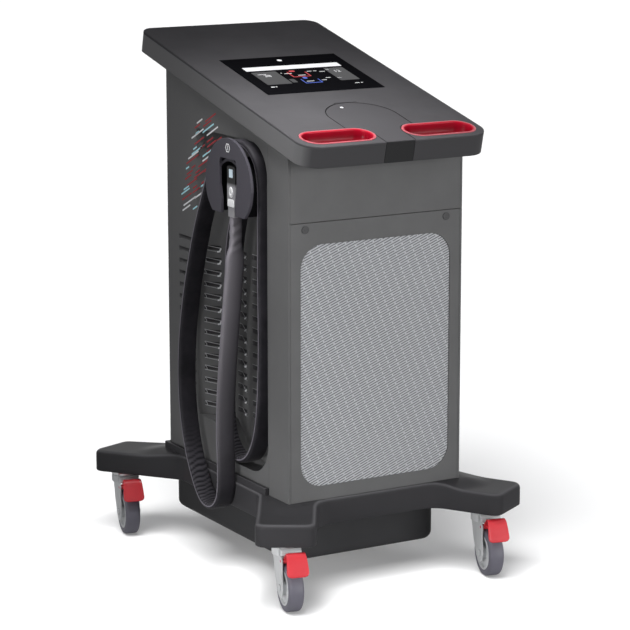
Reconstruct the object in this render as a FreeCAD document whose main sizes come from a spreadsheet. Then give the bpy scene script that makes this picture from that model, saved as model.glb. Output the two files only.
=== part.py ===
import FreeCAD, Part
import math
import os
import re

import Sketcher
from FreeCAD import Placement, Rotation, Vector

# Wheeled hot and cold therapy cart. Millimetres, +Z up, the front looks along -Y.
# The origin is on the floor, under the middle of the cart.

SIZES = [
    # floor, casters and feet
    ("casterHeight", 141, "floor to the underside of the feet"),
    ("wheelRadius", 50, "outside radius of a caster tyre"),
    ("tyreWall", 13, "thickness of the tyre round the wheel centre"),
    ("wheelWidth", 32, "width of a tyre"),
    ("axleRadius", 5, "radius of a wheel axle"),
    ("kingPinRadius", 6, "radius of the pin that a fork swivels on"),
    ("swivelTrail", 28, "swivel axis to wheel axle, level"),
    ("armThick", 3.5, "thickness of one arm of a fork"),
    ("armGap", 37, "clear width between the arms of a fork"),
    ("crownRadius", 30, "radius of a fork's crown"),
    ("crownThick", 18, "height of a fork's crown"),
    ("raceThick", 6, "height of the ball race above the crown"),
    ("mountPlate", 66, "side of a caster's square mounting plate"),
    ("mountPlateThick", 4, "thickness of that plate"),
    ("casterHeading", 13, "angle that the casters rest at, from straight ahead"),
    ("pedalWidth", 47, "width of a brake pedal"),
    ("pedalPinRadius", 3, "radius of a brake pedal's pin"),
    ("pedalDrop", 5.7, "fork's crown down to the axis of a brake pedal"),
    ("pedalReach", 33, "swivel axis to the axis of a brake pedal"),
    ("runningFit", 0.05, "radial clearance of a shaft in its bore"),
    ("gap", 0.3, "clearance between pieces that move past each other"),
    ("frontSwivelX", 240, "middle of the cart to a front swivel, sideways"),
    ("frontSwivelY", 314, "middle of the cart to a front swivel, forwards"),
    ("rearSwivelX", 280, "middle of the cart to a rear swivel, sideways"),
    ("rearSwivelY", 343, "middle of the cart to a rear swivel, backwards"),
    ("frontReach", 60, "front swivel axis to the end of its foot"),
    ("rearOutX", 357, "middle of the cart to a rear foot's outer corner, sideways"),
    ("rearOutY", 365, "middle of the cart to that corner, backwards"),
    ("rearInX", 250, "middle of the cart to a rear foot's inner corner, sideways"),
    ("rearInY", 404, "middle of the cart to that corner, backwards"),
    ("frontSplay", 31, "angle of a front foot outwards from straight ahead"),
    ("rearSplay", 38, "angle of a rear foot's outer edge from straight back"),
    ("frontFootWidth", 123, "width of a front foot"),
    ("legThickness", 41, "thickness of the feet"),
    ("waistHalf", 216, "half the width of the base between its feet"),
    ("waistFront", 268, "middle of the cart to the front edge of the base"),
    ("waistRear", 318, "middle of the cart to the rear edge of the base"),
    ("rearRootX", 150, "middle of the cart to where a rear foot leaves the rear edge"),
    ("tipRound", 22, "plan radius at the end of a foot"),
    ("neckRound", 55, "plan radius where a foot leaves the base"),
    ("baseEdgeRound", 9, "radius along the upper edge of the base"),
    ("deckRise", 14, "height of the deck above the feet"),
    ("curbWidth", 9, "width of the curb round the cabinet"),
    ("curbHeight", 15, "height of the curb above the deck"),
    ("wellHalf", 150, "half the width of the opening through the base"),
    ("wellFront", 200, "middle of the cart to the front of that opening"),
    ("wellRear", 250, "middle of the cart to the rear of that opening"),
    ("trayHalf", 174, "half the width of the under tray"),
    ("trayFront", 211, "middle of the cart to the front of the under tray"),
    ("trayRear", 300, "middle of the cart to the rear of the under tray"),
    ("trayDepth", 81, "depth of the under tray"),
    ("trayRound", 28, "plan radius of the under tray"),
    ("trayEdgeRound", 20, "radius along the lower edge of the under tray"),
    # cabinet
    ("cabinetWidth", 412, "outside width of the cabinet"),
    ("cabinetDepth", 529, "outside depth of the cabinet"),
    ("sheet", 3, "thickness of the cabinet's sheet metal and mouldings"),
    ("stripMargin", 3.5, "hose recess to the front frame's side strips"),
    ("returnWidth", 4.5, "width of the strips' returns on the front"),
    ("seam", 0.6, "open seam between neighbouring panels"),
    ("doorHeight", 575.6, "deck to the seam above the filter door"),
    ("doorDepth", 18.5, "depth of the filter door"),
    ("railHeight", 40, "height of the front frame's cross rail"),
    ("railThick", 5, "thickness of that rail"),
    ("grilleMargin", 28.5, "cabinet's side to the grille opening"),
    ("grilleSill", 29, "deck to the lower edge of the grille opening"),
    ("grilleHead", 45.6, "seam down to the grille opening"),
    ("grilleRound", 50, "corner radius of the grille opening"),
    ("grilleSheet", 1.5, "thickness of the grille"),
    ("grilleLap", 8, "overlap of the grille behind the door's skin"),
    ("foamThick", 12, "thickness of the filter foam"),
    ("latchInset", 39, "cabinet's side to a quarter-turn fastener"),
    ("latchDrop", 13.5, "seam to a quarter-turn fastener's axis"),
    ("latchHeadRadius", 8, "radius of a quarter-turn fastener's head"),
    ("latchShankRadius", 3, "radius of its shank"),
    # recess in each side
    ("recessDepth", 56, "depth of the hose recess"),
    ("recessFront", 179, "middle of the cart to the front wall of the recess"),
    ("recessRear", 128, "middle of the cart to the rear edge of the recess"),
    ("recessTop", 725, "deck to the top of the recess"),
    ("recessLow", 36, "deck to the lowest part of the recess"),
    ("recessLedge", 106, "deck to the ledge at the rear of the recess"),
    ("recessRound", 68, "outline radius at the front corners of the recess"),
    ("recessBlend", 50, "radius between the recess's rear wall and its back"),
    ("louvreRows", 14, "number of louvres in a column"),
    ("louvrePitch", 26.1, "height from one louvre to the next"),
    ("louvreTall", 10, "height of a louvre slot"),
    ("louvreLong", 76, "length of a louvre slot on the flat of the panel"),
    ("louvreShort", 40, "length of a louvre slot in the recess"),
    ("louvreTop", 482, "deck to the middle of the top louvre on the flat of the panel"),
    ("louvreStagger", 16, "how much lower the louvres in the recess start"),
    # hose hanger
    ("hubY", 92, "middle of the cart to the hanger's axis, forwards"),
    ("hubRise", 634, "deck to the hanger's axis"),
    ("hubRadius", 56, "radius of the hanger's hub"),
    ("hubWall", 6, "wall of the hub"),
    ("hubReach", 38, "how far the hub stands out from the side panel"),
    ("plateRadius", 98, "radius of the hanger's face plate"),
    ("plateThick", 6, "thickness of the face plate"),
    ("plateDrop", 58, "hanger's axis to the lower edge of the face plate"),
    ("slotHalf", 37, "half the width of the connector slot"),
    ("slotRise", 56, "hanger's axis to the top of the connector slot"),
    ("pegRadius", 4, "radius of the peg that a parked connector sits on"),
    ("pegReach", 8, "length of that peg inside the connector"),
    ("pegRise", 62, "connector's lower end to the peg's axis"),
    ("hangerShift", 3, "face plate's axis ahead of the hub's axis"),
    # hose and connector
    ("hoseWidth", 38, "width of the flat hose"),
    ("hoseThick", 15, "thickness of the flat hose"),
    ("plugX", 235, "middle of the cart to the middle of the connector"),
    ("plugY", 101, "middle of the cart to the connector, forwards"),
    ("plugDrop", 63, "hanger's axis down to the connector's lower end"),
    ("plugThick", 22, "thickness of the connector"),
    ("plugWide", 34, "width of the connector"),
    ("plugTall", 104, "length of the connector"),
    ("buttonTall", 17, "height of the release button"),
    ("buttonWide", 14, "width of the release button"),
    ("buttonTravel", 3, "travel of the release button"),
    ("glandY", 54, "middle of the cart to the hose gland, forwards"),
    ("glandX", 200, "middle of the cart to the hose gland, sideways"),
    ("glandTall", 28, "height of the hose gland"),
    # console
    ("slope", 13.5, "slope of the console in degrees"),
    ("consoleWidth", 435, "width of the console"),
    ("consoleLength", 747, "length of the console along its slope"),
    ("consoleThick", 45, "thickness of the console"),
    ("consoleOverhang", 92, "cabinet front to the console's front edge"),
    ("consoleRise", 740.4, "deck to the console's front upper edge"),
    ("consoleFrontRound", 45, "plan radius of the console's front corners"),
    ("consoleRearRound", 30, "plan radius of the console's rear corners"),
    ("consoleWall", 4, "wall of the console tray"),
    ("topThick", 5, "thickness of the console's top plate"),
    ("topEdgeRound", 2, "radius along the top plate's upper edge"),
    ("cupX", 118.5, "middle of the cart to the middle of a handle cup"),
    ("cupV", 49, "console's front edge to the middle of a handle cup"),
    ("cupLength", 155, "length of a handle cup's mouth"),
    ("cupRadius", 29, "radius of the ends of a handle cup's mouth"),
    ("cupDepth", 30, "depth of a handle cup"),
    ("cupWall", 2, "wall of a handle cup"),
    ("cupRim", 6, "width of the rim round a handle cup"),
    ("cupRimThick", 1.2, "height of that rim above the console"),
    ("screenWidth", 280, "width of the touch screen's glass"),
    ("screenLength", 220, "length of the glass along the slope"),
    ("screenV", 297.5, "console's front edge to the glass"),
    ("glassThick", 3, "thickness of the glass"),
    ("displayThick", 14, "thickness of the display behind the glass"),
    ("lidV", 145, "console's front edge to the middle of the lid's round head"),
    ("lidRadius", 78, "radius of the lid's round head"),
    ("lidStemHalf", 33, "half the width of the lid's stem"),
    ("lidSeam", 0.8, "open seam round the lid"),
    ("lidHingeV", 224.5, "console's front edge to the lid's hinge pin"),
    ("lidHingeHalf", 26, "half the width of the lid's hinge leaf"),
    ("lidPinRadius", 1.2, "radius of the lid's hinge pin"),
    ("lidFlap", 4, "thickness of the lid's flap on the console's front"),
    # inside the cabinet
    ("chassisThick", 3, "thickness of the chassis plates"),
    ("postWidth", 22, "side of a chassis post"),
    ("shelfRise", 402, "deck to the shelf"),
    ("reservoirMargin", 12, "back of the hose recess to the reservoir"),
    ("reservoirSetback", 32.5, "cabinet's front to the reservoir"),
    ("reservoirRear", 20, "middle of the cart to the reservoir's rear, forwards"),
    ("reservoirHeight", 225, "height of the reservoir"),
    ("reservoirWall", 4, "wall of the reservoir"),
    ("neckSetback", 46, "reservoir's front to the filler neck's axis"),
    ("neckRadius", 40, "outside radius of the filler neck"),
    ("neckWall", 4, "wall of the filler neck"),
    ("neckHeight", 88, "height of the filler neck above the reservoir"),
    ("capHeight", 16, "height of the filler cap"),
    ("fanMargin", 28, "back of the hose recess to the fan's blades"),
    ("fanHubRadius", 32, "radius of the fan's hub"),
    ("fanBlades", 7, "number of fan blades"),
    ("bladeChord", 44, "width of a fan blade"),
    ("bladeThick", 3, "thickness of a fan blade"),
    ("fanRise", 235, "deck to the fan's axis"),
    ("fanDepth", 34, "depth of the fan"),
    ("shroudSetback", 61.5, "cabinet's front to the fan shroud"),
    ("condenserMargin", 6, "back of the hose recess to the condenser"),
    ("condenserHeight", 375, "height of the condenser"),
    ("compressorRadius", 62, "radius of the compressor"),
    ("compressorHeight", 185, "height of the compressor"),
]

DERIVED = {
    "deckTop": "casterHeight + legThickness + deckRise",
    "legTop": "casterHeight + legThickness",
    "sideX": "cabinetWidth / 2",
    "frontY": "-cabinetDepth / 2",
    "rearY": "cabinetDepth / 2",
    "consoleY": "-(cabinetDepth / 2 + consoleOverhang)",
    "frontTipX": "frontSwivelX + frontReach * sin(frontSplay)",
    "frontTipY": "-(frontSwivelY + frontReach * cos(frontSplay))",
    "frontOutX": "frontTipX + frontFootWidth / 2 * cos(frontSplay)",
    "frontOutY": "frontTipY + frontFootWidth / 2 * sin(frontSplay)",
    "frontInX": "frontTipX - frontFootWidth / 2 * cos(frontSplay)",
    "frontInY": "frontTipY - frontFootWidth / 2 * sin(frontSplay)",
    "frontRootY": "frontOutY + (frontOutX - waistHalf) / tan(frontSplay)",
    "frontRootX": "frontInX - (-waistFront - frontInY) * tan(frontSplay)",
    "rearRootY": "rearOutY - (rearOutX - waistHalf) / tan(rearSplay)",
    "stripRear": "-recessFront - stripMargin",
    "grilleHalf": "sideX - grilleMargin",
    "grilleHeight": "doorHeight - grilleSill - grilleHead",
    "latchX": "sideX - latchInset",
    "seamZ": "deckTop + doorHeight",
    "doorBack": "frontY + doorDepth",
    "recessBack": "sideX - recessDepth",
    "hubZ": "deckTop + hubRise",
    "plateY": "-(hubY + hangerShift)",
    "plateX": "sideX + hubReach",
    "plugFoot": "hubZ - plugDrop",
    "pegZ": "plugFoot + pegRise",
    "consoleFrontHeight": "deckTop + consoleRise",
    "crownTop": "casterHeight - mountPlateThick - raceThick - gap",
    "crownLow": "crownTop - crownThick",
    "pedalHeight": "crownLow - pedalDrop",
    "shelfZ": "deckTop + shelfRise",
    "reservoirHalf": "recessBack - reservoirMargin",
    "reservoirFront": "-frontY - reservoirSetback",
    "neckY": "reservoirFront - neckSetback",
    "shroudFront": "-frontY - shroudSetback",
    "condenserHalf": "recessBack - condenserMargin",
    "fanRadius": "recessBack - fanMargin",
    "reservoirTop": "shelfZ + chassisThick + reservoirHeight",
    "lidPinW": "-topThick / 2",
    "fanZ": "deckTop + fanRise",
}

NAMES = [row[0] for row in SIZES]
WORD = re.compile(r"[A-Za-z_]\w*")
UP = Vector(0, 0, 1)

doc = FreeCAD.newDocument("TherapyCart")
dims = doc.addObject("Spreadsheet::Sheet", "Dims")
for row, (alias, value, meaning) in enumerate(SIZES, 1):
    dims.set("A%d" % row, meaning)
    dims.set("B%d" % row, str(value))
    dims.setAlias("B%d" % row, alias)
doc.recompute()

nodes = []


# ---- expressions ---------------------------------------------------------

def bind(text):
    """The expression with each size's name pointed at its cell of the sheet."""
    def cell(match):
        word = match.group()
        if word in DERIVED:
            return "(" + bind(DERIVED[word]) + ")"
        return "Dims." + word if word in NAMES else word
    return WORD.sub(cell, str(text))


def num(text):
    """The expression's value."""
    return float(dims.evalExpression(bind(text)))


def roof(y_text):
    """Height of the console's underside at a distance along Y."""
    return ("(consoleFrontHeight + (%s - consoleY) * tan(slope) - consoleThick / cos(slope))"
            % y_text)


def negated(text):
    return "-(%s)" % text


def mirrored(corners):
    """Corners of the +X half, walked back on the -X side."""
    return list(corners) + [(negated(x), y) for x, y in reversed(corners)]


def rectangle(x_low, x_high, y_low, y_high):
    return [(x_low, y_low), (x_high, y_low), (x_high, y_high), (x_low, y_high)]


# ---- building blocks -----------------------------------------------------

def place(item, at, axis=None, angle="0"):
    """Sets an object's place, and its turn about a fixed axis."""
    if axis:
        item.Placement = Placement(Vector(), Rotation(axis, num(angle)))
        item.setExpression("Placement.Rotation.Angle", bind(angle))
    for letter, text in zip("xyz", at):
        item.setExpression("Placement.Base." + letter, bind(text))
    return item


def on_console(item, x="0", v="0", w="0"):
    """Places an object by console coordinates: v up the slope, w out of the top."""
    at = (x,
          "consoleY + (%s) * cos(slope) - (%s) * sin(slope)" % (v, w),
          "consoleFrontHeight + (%s) * sin(slope) + (%s) * cos(slope)" % (v, w))
    return place(item, at, Vector(1, 0, 0), "slope")


def box(name, x, y, z, tilted=False):
    """A box between two limits along each axis."""
    item = doc.addObject("Part::Box", name)
    for prop, (low, high) in zip(("Length", "Width", "Height"), (x, y, z)):
        item.setExpression(prop, bind("(%s) - (%s)" % (high, low)))
    if tilted:
        return on_console(item, x[0], y[0], z[0])
    return place(item, (x[0], y[0], z[0]))


def cylinder(name, radius, length, at, along="Z"):
    """A cylinder that starts at a point and runs along a positive axis."""
    item = doc.addObject("Part::Cylinder", name)
    item.setExpression("Radius", bind(radius))
    item.setExpression("Height", bind(length))
    turns = {"Z": (None, "0"), "X": (Vector(0, 1, 0), "90"), "Y": (Vector(1, 0, 0), "-90")}
    axis, angle = turns[along]
    return place(item, at, axis, angle)


def console_cylinder(name, radius, x, v, w):
    """A cylinder square to the console's top, between two limits of w."""
    item = doc.addObject("Part::Cylinder", name)
    item.setExpression("Radius", bind(radius))
    item.setExpression("Height", bind("(%s) - (%s)" % (w[1], w[0])))
    return on_console(item, x, v, w[0])


def joined(kind, name, items):
    result = doc.addObject("Part::" + kind, name)
    if kind == "Compound":
        result.Links = list(items)
    else:
        result.Shapes = list(items)
    if kind == "MultiFuse":
        result.Refine = True
    return result


def fuse(name, *items):
    return joined("MultiFuse", name, items)


def common(name, *items):
    return joined("MultiCommon", name, items)


def group(name, *items):
    """Separate solids kept as one object."""
    return joined("Compound", name, items)


def cut(name, base, *tools):
    result = doc.addObject("Part::Cut", name)
    result.Base = base
    result.Tool = tools[0] if len(tools) == 1 else fuse(name + "Tools", *tools)
    result.Refine = True
    return result


def mirror(name, source):
    """The same piece on the other side of the cart."""
    result = doc.addObject("Part::Mirroring", name)
    result.Source = source
    result.Normal = Vector(1, 0, 0)
    return result


def plane_of(body, role):
    return [item for item in body.Origin.OriginFeatures if item.Role == role][0]


def outline(body, role, corners, offset):
    """A closed polygon sketch whose corners follow the sheet."""
    sketch = body.newObject("Sketcher::SketchObject", body.Name + "Outline")
    sketch.AttachmentSupport = (plane_of(body, role), [""])
    sketch.MapMode = "FlatFace"
    points = [Vector(num(x), num(y), 0) for x, y in corners]
    count = len(points)
    for i in range(count):
        sketch.addGeometry(Part.LineSegment(points[i], points[(i + 1) % count]), False)
    for i in range(count):
        sketch.addConstraint(Sketcher.Constraint("Coincident", i, 2, (i + 1) % count, 1))
    for i, (x, y) in enumerate(corners):
        for kind, text, value in (("DistanceX", x, points[i].x), ("DistanceY", y, points[i].y)):
            index = sketch.addConstraint(Sketcher.Constraint(kind, -1, 1, i, 1, value))
            sketch.setExpression("Constraints[%d]" % index, bind(text))
    sketch.setExpression("AttachmentOffset.Base.z", bind(offset))
    return sketch


def prism(name, role, corners, start, thick, rounds=None, tilted=False):
    """A plate: a polygon on an origin plane, from start on by thick along +X, +Y or +Z.
    rounds gives the radius of the edge at each numbered corner."""
    body = doc.addObject("PartDesign::Body", name)
    offset = start if role != "XZ_Plane" else "-(%s) - (%s)" % (start, thick)
    sketch = outline(body, role, corners, offset)
    pad = body.newObject("PartDesign::Pad", name + "Pad")
    pad.Profile = sketch
    pad.setExpression("Length", bind(thick))
    if tilted:
        on_console(body)
    doc.recompute()
    if rounds:
        flat = {"XY_Plane": (0, 1), "XZ_Plane": (0, 2), "YZ_Plane": (1, 2)}[role]
        points = [(num(x), num(y)) for x, y in corners]
        for radius in dict.fromkeys(rounds.values()):
            wanted = [points[i] for i in rounds if rounds[i] == radius]
            soften(body, radius, lambda edge: stands_at(edge, wanted, flat))
    return body


def stands_at(edge, wanted, flat):
    """Whether an edge stands square to the sketch at one of its corners."""
    ends = [tuple(vertex.Point[i] for i in flat) for vertex in edge.Vertexes]
    if len(ends) != 2 or math.dist(ends[0], ends[1]) > 0.001:
        return False
    return any(math.dist(ends[0], point) < 0.001 for point in wanted)


def soften(body, radius, pick, kind="Fillet"):
    """Rounds (or chamfers) the edges of a body that pick accepts."""
    base = body.Tip
    names = ["Edge%d" % i for i, edge in enumerate(base.Shape.Edges, 1) if pick(edge)]
    if not names:
        raise ValueError("no edge to round on " + body.Name)
    feature = body.newObject("PartDesign::" + kind, body.Name + kind)
    feature.Base = (base, names)
    feature.setExpression("Radius" if kind == "Fillet" else "Size", bind(radius))
    doc.recompute()
    return body


def at_level(level, tolerance=0.001):
    """Picks edges that lie wholly at one height of the body's own Z."""
    return lambda edge: (abs(edge.BoundBox.ZMin - level) < tolerance
                         and abs(edge.BoundBox.ZMax - level) < tolerance)


def keep(node_name, item):
    """Makes an object a sub-part of the cart."""
    item.Label = node_name
    nodes.append(item)
    return item


# ---- base ----------------------------------------------------------------

def base_moulding():
    """Four splayed feet round a waist, with a deck, a curb and an open well."""
    half = [("frontRootX", "-waistFront"), ("frontInX", "frontInY"),
            ("frontOutX", "frontOutY"), ("waistHalf", "frontRootY"),
            ("waistHalf", "rearRootY"), ("rearOutX", "rearOutY"),
            ("rearInX", "rearInY"), ("rearRootX", "waistRear")]
    radii = ["neckRound", "tipRound", "tipRound", "neckRound",
             "neckRound", "tipRound", "tipRound", "neckRound"]
    rounds = dict(enumerate(radii + radii[::-1]))
    slab = prism("Slab", "XY_Plane", mirrored(half), "casterHeight", "legThickness", rounds)
    soften(slab, "baseEdgeRound", at_level(num("legTop")))
    deck_x = "sideX + curbWidth"
    deck_rear = "rearY + curbWidth"
    deck = box("Deck", (negated(deck_x), deck_x), ("-waistFront", deck_rear),
               ("legTop - baseEdgeRound", "deckTop"))
    curb = box("CurbBlock", (negated(deck_x), deck_x), ("stripRear", deck_rear),
               ("deckTop", "deckTop + curbHeight"))
    inside = box("CurbInside", ("-sideX - gap", "sideX + gap"),
                 ("stripRear - curbWidth", "rearY + gap"),
                 ("deckTop", "deckTop + curbHeight + 1"))
    well = box("Well", ("-wellHalf", "wellHalf"), ("-wellFront", "wellRear"),
               ("casterHeight - 1", "deckTop + 1"))
    solid = fuse("BaseSolid", slab, deck)
    opened = cut("BaseOpened", solid, well)
    keep("base_moulding", fuse("BaseMoulding", opened, cut("Curb", curb, inside)))


def under_tray():
    """Drip and air tray hung under the base."""
    def shell(name, inset, start, thick):
        corners = rectangle("-trayHalf + " + inset, "trayHalf - " + inset,
                            "-trayFront + " + inset, "trayRear - " + inset)
        radius = "trayRound - " + inset
        body = prism(name, "XY_Plane", corners, start, thick, dict.fromkeys(range(4), radius))
        return soften(body, "trayEdgeRound - " + inset, at_level(num(start)))
    low = "casterHeight - trayDepth"
    outer = shell("TrayOuter", "0", low, "trayDepth")
    inner = shell("TrayInner", "sheet", low + " + sheet", "trayDepth")
    keep("under_tray", cut("UnderTray", outer, inner))


# ---- casters -------------------------------------------------------------

CORNERS = {"front_left": ("-frontSwivelX", "-frontSwivelY"),
           "front_right": ("frontSwivelX", "-frontSwivelY"),
           "rear_left": ("-rearSwivelX", "rearSwivelY"),
           "rear_right": ("rearSwivelX", "rearSwivelY")}

ARM = [("22", "crownTop"), ("22", "crownLow"), ("6", "wheelRadius + 18"),
       ("-9", "wheelRadius - 10"), ("-20", "wheelRadius - 20"), ("-36", "wheelRadius - 19"),
       ("-46", "wheelRadius - 4"), ("-41", "wheelRadius + 28"), ("-39", "pedalHeight - 7"),
       ("-42", "pedalHeight"), ("-39", "pedalHeight + 7"), ("-30", "crownLow + 6"),
       ("-30", "crownTop")]

# A pedal's outline across its width, measured from its pin.
PEDAL = [(2, 3), (-12, 14), (-24, 23), (-33, 24.5), (-40, 18.5), (-48.5, -1.5), (-54.8, -20.5),
         (-52, -22), (-45.6, -3), (-37.5, 15.5), (-32, 21), (-25, 19.5), (-14, 10.8), (-1.5, -1.5)]


def shifted(points, y):
    """Outline points measured from a caster's swivel axis."""
    return [("%s + (%s)" % (y, along), height) for along, height in points]


def caster_socket(corner, x, y):
    """Square plate, ball race and king pin under a foot."""
    half = "mountPlate / 2"
    plate = box(corner + "Plate", (x + " - " + half, x + " + " + half),
                (y + " - " + half, y + " + " + half),
                ("casterHeight - mountPlateThick", "casterHeight"))
    race = cylinder(corner + "Race", "crownRadius", "raceThick",
                    (x, y, "crownTop + gap"))
    pin = cylinder(corner + "KingPin", "kingPinRadius", "crownThick + 2 + gap",
                   (x, y, "crownLow - 2"))
    return fuse(corner + "Socket", plate, race, pin)


def caster_fork(corner, x, y):
    """Crown with two arms and the wheel's axle between them."""
    crown = cylinder(corner + "Crown", "crownRadius", "crownThick", (x, y, "crownLow"))
    arms = [prism(corner + "Arm" + side, "YZ_Plane", shifted(ARM, y),
                  "%s %s" % (x, start), "armThick")
            for side, start in (("L", "- armGap / 2 - armThick"), ("R", "+ armGap / 2"))]
    axle = cylinder(corner + "Axle", "axleRadius", "armGap + 2 * armThick",
                    (x + " - armGap / 2 - armThick", y + " - swivelTrail", "wheelRadius"), "X")
    bore = cylinder(corner + "CrownBore", "kingPinRadius + runningFit", "crownThick + 2",
                    (x, y, "crownLow - 1"))
    pins = cylinder(corner + "PedalBore", "pedalPinRadius + runningFit",
                    "armGap + 2 * armThick + 2",
                    (x + " - armGap / 2 - armThick - 1", y + " - pedalReach", "pedalHeight"), "X")
    return cut(corner + "Fork", fuse(corner + "ForkSolid", crown, axle, *arms), bore, pins)


def caster_hub(corner, x, y):
    """Wheel centre: a disc with a dished rim on each side and a bore."""
    radius = "wheelRadius - tyreWall"
    disc = cylinder(corner + "Disc", radius, "wheelWidth",
                    (x + " - wheelWidth / 2", y + " - swivelTrail", "wheelRadius"), "X")
    boss = cylinder(corner + "Boss", "axleRadius + 7", "armGap - 2 * gap",
                    (x + " - armGap / 2 + gap", y + " - swivelTrail", "wheelRadius"), "X")
    bore = cylinder(corner + "Bore", "axleRadius + runningFit", "armGap",
                    (x + " - armGap / 2", y + " - swivelTrail", "wheelRadius"), "X")
    dishes = [cylinder(corner + "Dish" + side, radius + " - 4", "4",
                       ("%s %s" % (x, start), y + " - swivelTrail", "wheelRadius"), "X")
              for side, start in (("L", "- wheelWidth / 2 - 1"), ("R", "+ wheelWidth / 2 - 3"))]
    dished = cut(corner + "Dished", disc, *dishes)
    return cut(corner + "Hub", fuse(corner + "HubSolid", dished, boss), bore)


def caster_tyre(corner, x, y):
    """Ring with rounded shoulders, turned about the axle."""
    outer = cylinder(corner + "TyreOuter", "wheelRadius", "wheelWidth",
                     (x + " - wheelWidth / 2", y + " - swivelTrail", "wheelRadius"), "X")
    inner = cylinder(corner + "TyreInner", "wheelRadius - tyreWall", "wheelWidth + 2",
                     (x + " - wheelWidth / 2 - 1", y + " - swivelTrail", "wheelRadius"), "X")
    doc.recompute()
    rounded = doc.addObject("Part::Fillet", corner + "TyreRounded")
    rounded.Base = outer
    shoulder = num("tyreWall / 2")
    rims = [i for i, edge in enumerate(outer.Shape.Edges, 1)
            if isinstance(edge.Curve, Part.Circle)]
    rounded.Edges = [(i, shoulder, shoulder) for i in rims]
    return cut(corner + "Tyre", rounded, inner)


def brake_pedal(corner, x, y):
    """Bent pedal with rounded corners on a cross tube, pinned between the fork's arms."""
    side = [("-pedalReach + (%s)" % along, "pedalHeight + (%s)" % up) for along, up in PEDAL]
    plate = prism(corner + "PedalPlate", "YZ_Plane", shifted(side, y),
                  x + " - pedalWidth / 2", "pedalWidth")
    face = [("%s %s pedalWidth * %s" % (x, sign, part), "pedalHeight + (%s)" % up)
            for sign, part, up in (("-", 0.5, -23), ("+", 0.5, -23), ("+", 0.46, 6),
                                   ("+", 0.37, 26), ("-", 0.37, 26), ("-", 0.46, 6))]
    front = prism(corner + "PedalFace", "XZ_Plane", face, y + " - 2 * pedalWidth",
                  "2 * pedalWidth + 10", {0: "9", 1: "9", 3: "5", 4: "5"})
    clear = "armGap / 2 + armThick + gap"
    notches = [box(corner + "PedalNotch" + letter, (low, high),
                   (y + " - pedalReach - 11.5", y), ("pedalHeight - 20", "pedalHeight + 30"))
               for letter, low, high in (
                   ("L", x + " - pedalWidth", x + " - armGap / 2 + gap"),
                   ("R", x + " + armGap / 2 - gap", x + " + pedalWidth"))]
    tube = cylinder(corner + "PedalTube", "pedalPinRadius + 2.5", "armGap - 2 * gap",
                    (x + " - armGap / 2 + gap", y + " - pedalReach", "pedalHeight"), "X")
    pin = cylinder(corner + "PedalPin", "pedalPinRadius", "2 * (" + clear + ")",
                   (x + " - (" + clear + ")", y + " - pedalReach", "pedalHeight"), "X")
    shape = common(corner + "PedalShape", plate, front)
    return fuse(corner + "Pedal", cut(corner + "PedalCut", shape, *notches), tube, pin)


def headed(item, x, y):
    """A caster's piece turned about the swivel axis to the heading that it rests at."""
    at = ("%s - (%s) * cos(casterHeading) - (%s) * sin(casterHeading)" % (x, x, y),
          "%s + (%s) * sin(casterHeading) - (%s) * cos(casterHeading)" % (y, x, y), "0")
    return place(item, at, UP, "-casterHeading")


def casters():
    sockets = []
    for corner, (x, y) in CORNERS.items():
        sockets.append(caster_socket(corner, x, y))
        for name, make in (("caster_fork_", caster_fork), ("wheel_hub_", caster_hub),
                           ("wheel_tyre_", caster_tyre), ("brake_pedal_", brake_pedal)):
            keep(name + corner, headed(make(corner, x, y), x, y))
    keep("caster_sockets", group("CasterSockets", *sockets))


# ---- cabinet -------------------------------------------------------------

def recess_block(name, grow, reach):
    """The room of the left hose recess, grown all round by grow."""
    front = "-recessFront - (%s)" % grow
    rear = "recessRear + (%s)" % grow
    low = "deckTop + recessLow - (%s)" % grow
    ledge = "deckTop + recessLedge - (%s)" % grow
    top = "deckTop + recessTop + (%s)" % grow
    face = [(front, low), ("-10", low), ("55", ledge), (rear, ledge), (rear, top), (front, top)]
    rounds = {0: "recessRound + " + grow, 5: "recessRound + " + grow, 1: "24", 2: "24"}
    start = "-sideX - (%s)" % reach
    side = prism(name + "Side", "YZ_Plane", face, start,
                 "recessDepth + (%s) + (%s)" % (reach, grow), rounds)
    bend = "recessRear - recessDepth"
    tail = "recessRear + (%s) + (%s) * 0.414" % (reach, grow)
    plan = [("-sideX - (%s)" % reach, front), ("-recessBack + (%s)" % grow, front),
            ("-recessBack + (%s)" % grow, bend + " + (%s) * 0.414" % grow),
            ("-sideX - (%s)" % reach, tail)]
    floor = prism(name + "Plan", "XY_Plane", plan, "deckTop", "recessTop + 60",
                  {2: "recessBlend + " + grow})
    return common(name, side, floor)


def louvre_column(name, y_low, y_high, top, depth_from, depth_to, turn=None):
    """Slots one below another, through a wall."""
    slots = []
    for row in range(int(num("louvreRows"))):
        level = "%s - louvrePitch * %d" % (top, row)
        slots.append(box("%s%d" % (name, row), (depth_from, depth_to), (y_low, y_high),
                         (level + " - louvreTall / 2", level + " + louvreTall / 2")))
        if turn:
            place(slots[-1], (turn[0], turn[1], level + " - louvreTall / 2"), UP, turn[2])
    return slots


def side_louvres():
    """Four columns: one on the flat, one on the recess's slanted wall, two on its back."""
    top = "deckTop + louvreTop"
    flat = louvre_column("SlotFlat", "recessRear + 8", "recessRear + 8 + louvreLong", top,
                         "-sideX - 1", "-sideX + sheet + 1")
    top += " - louvreStagger"
    back_low = "-recessBack - 2"
    back_high = "-recessBack + sheet + 2"
    back = louvre_column("SlotBack", "12", "12 + louvreShort", top, back_low, back_high)
    fore = louvre_column("SlotFore", "-53", "-53 + louvreShort", top, back_low, back_high)
    slant = louvre_column("SlotSlant", "0", "0.95 * louvreShort", top + " + louvreStagger / 4",
                          "0", "4 * sheet", ("-sideX + 34", "recessRear - 41", "45"))
    return flat + slant + back + fore


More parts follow.
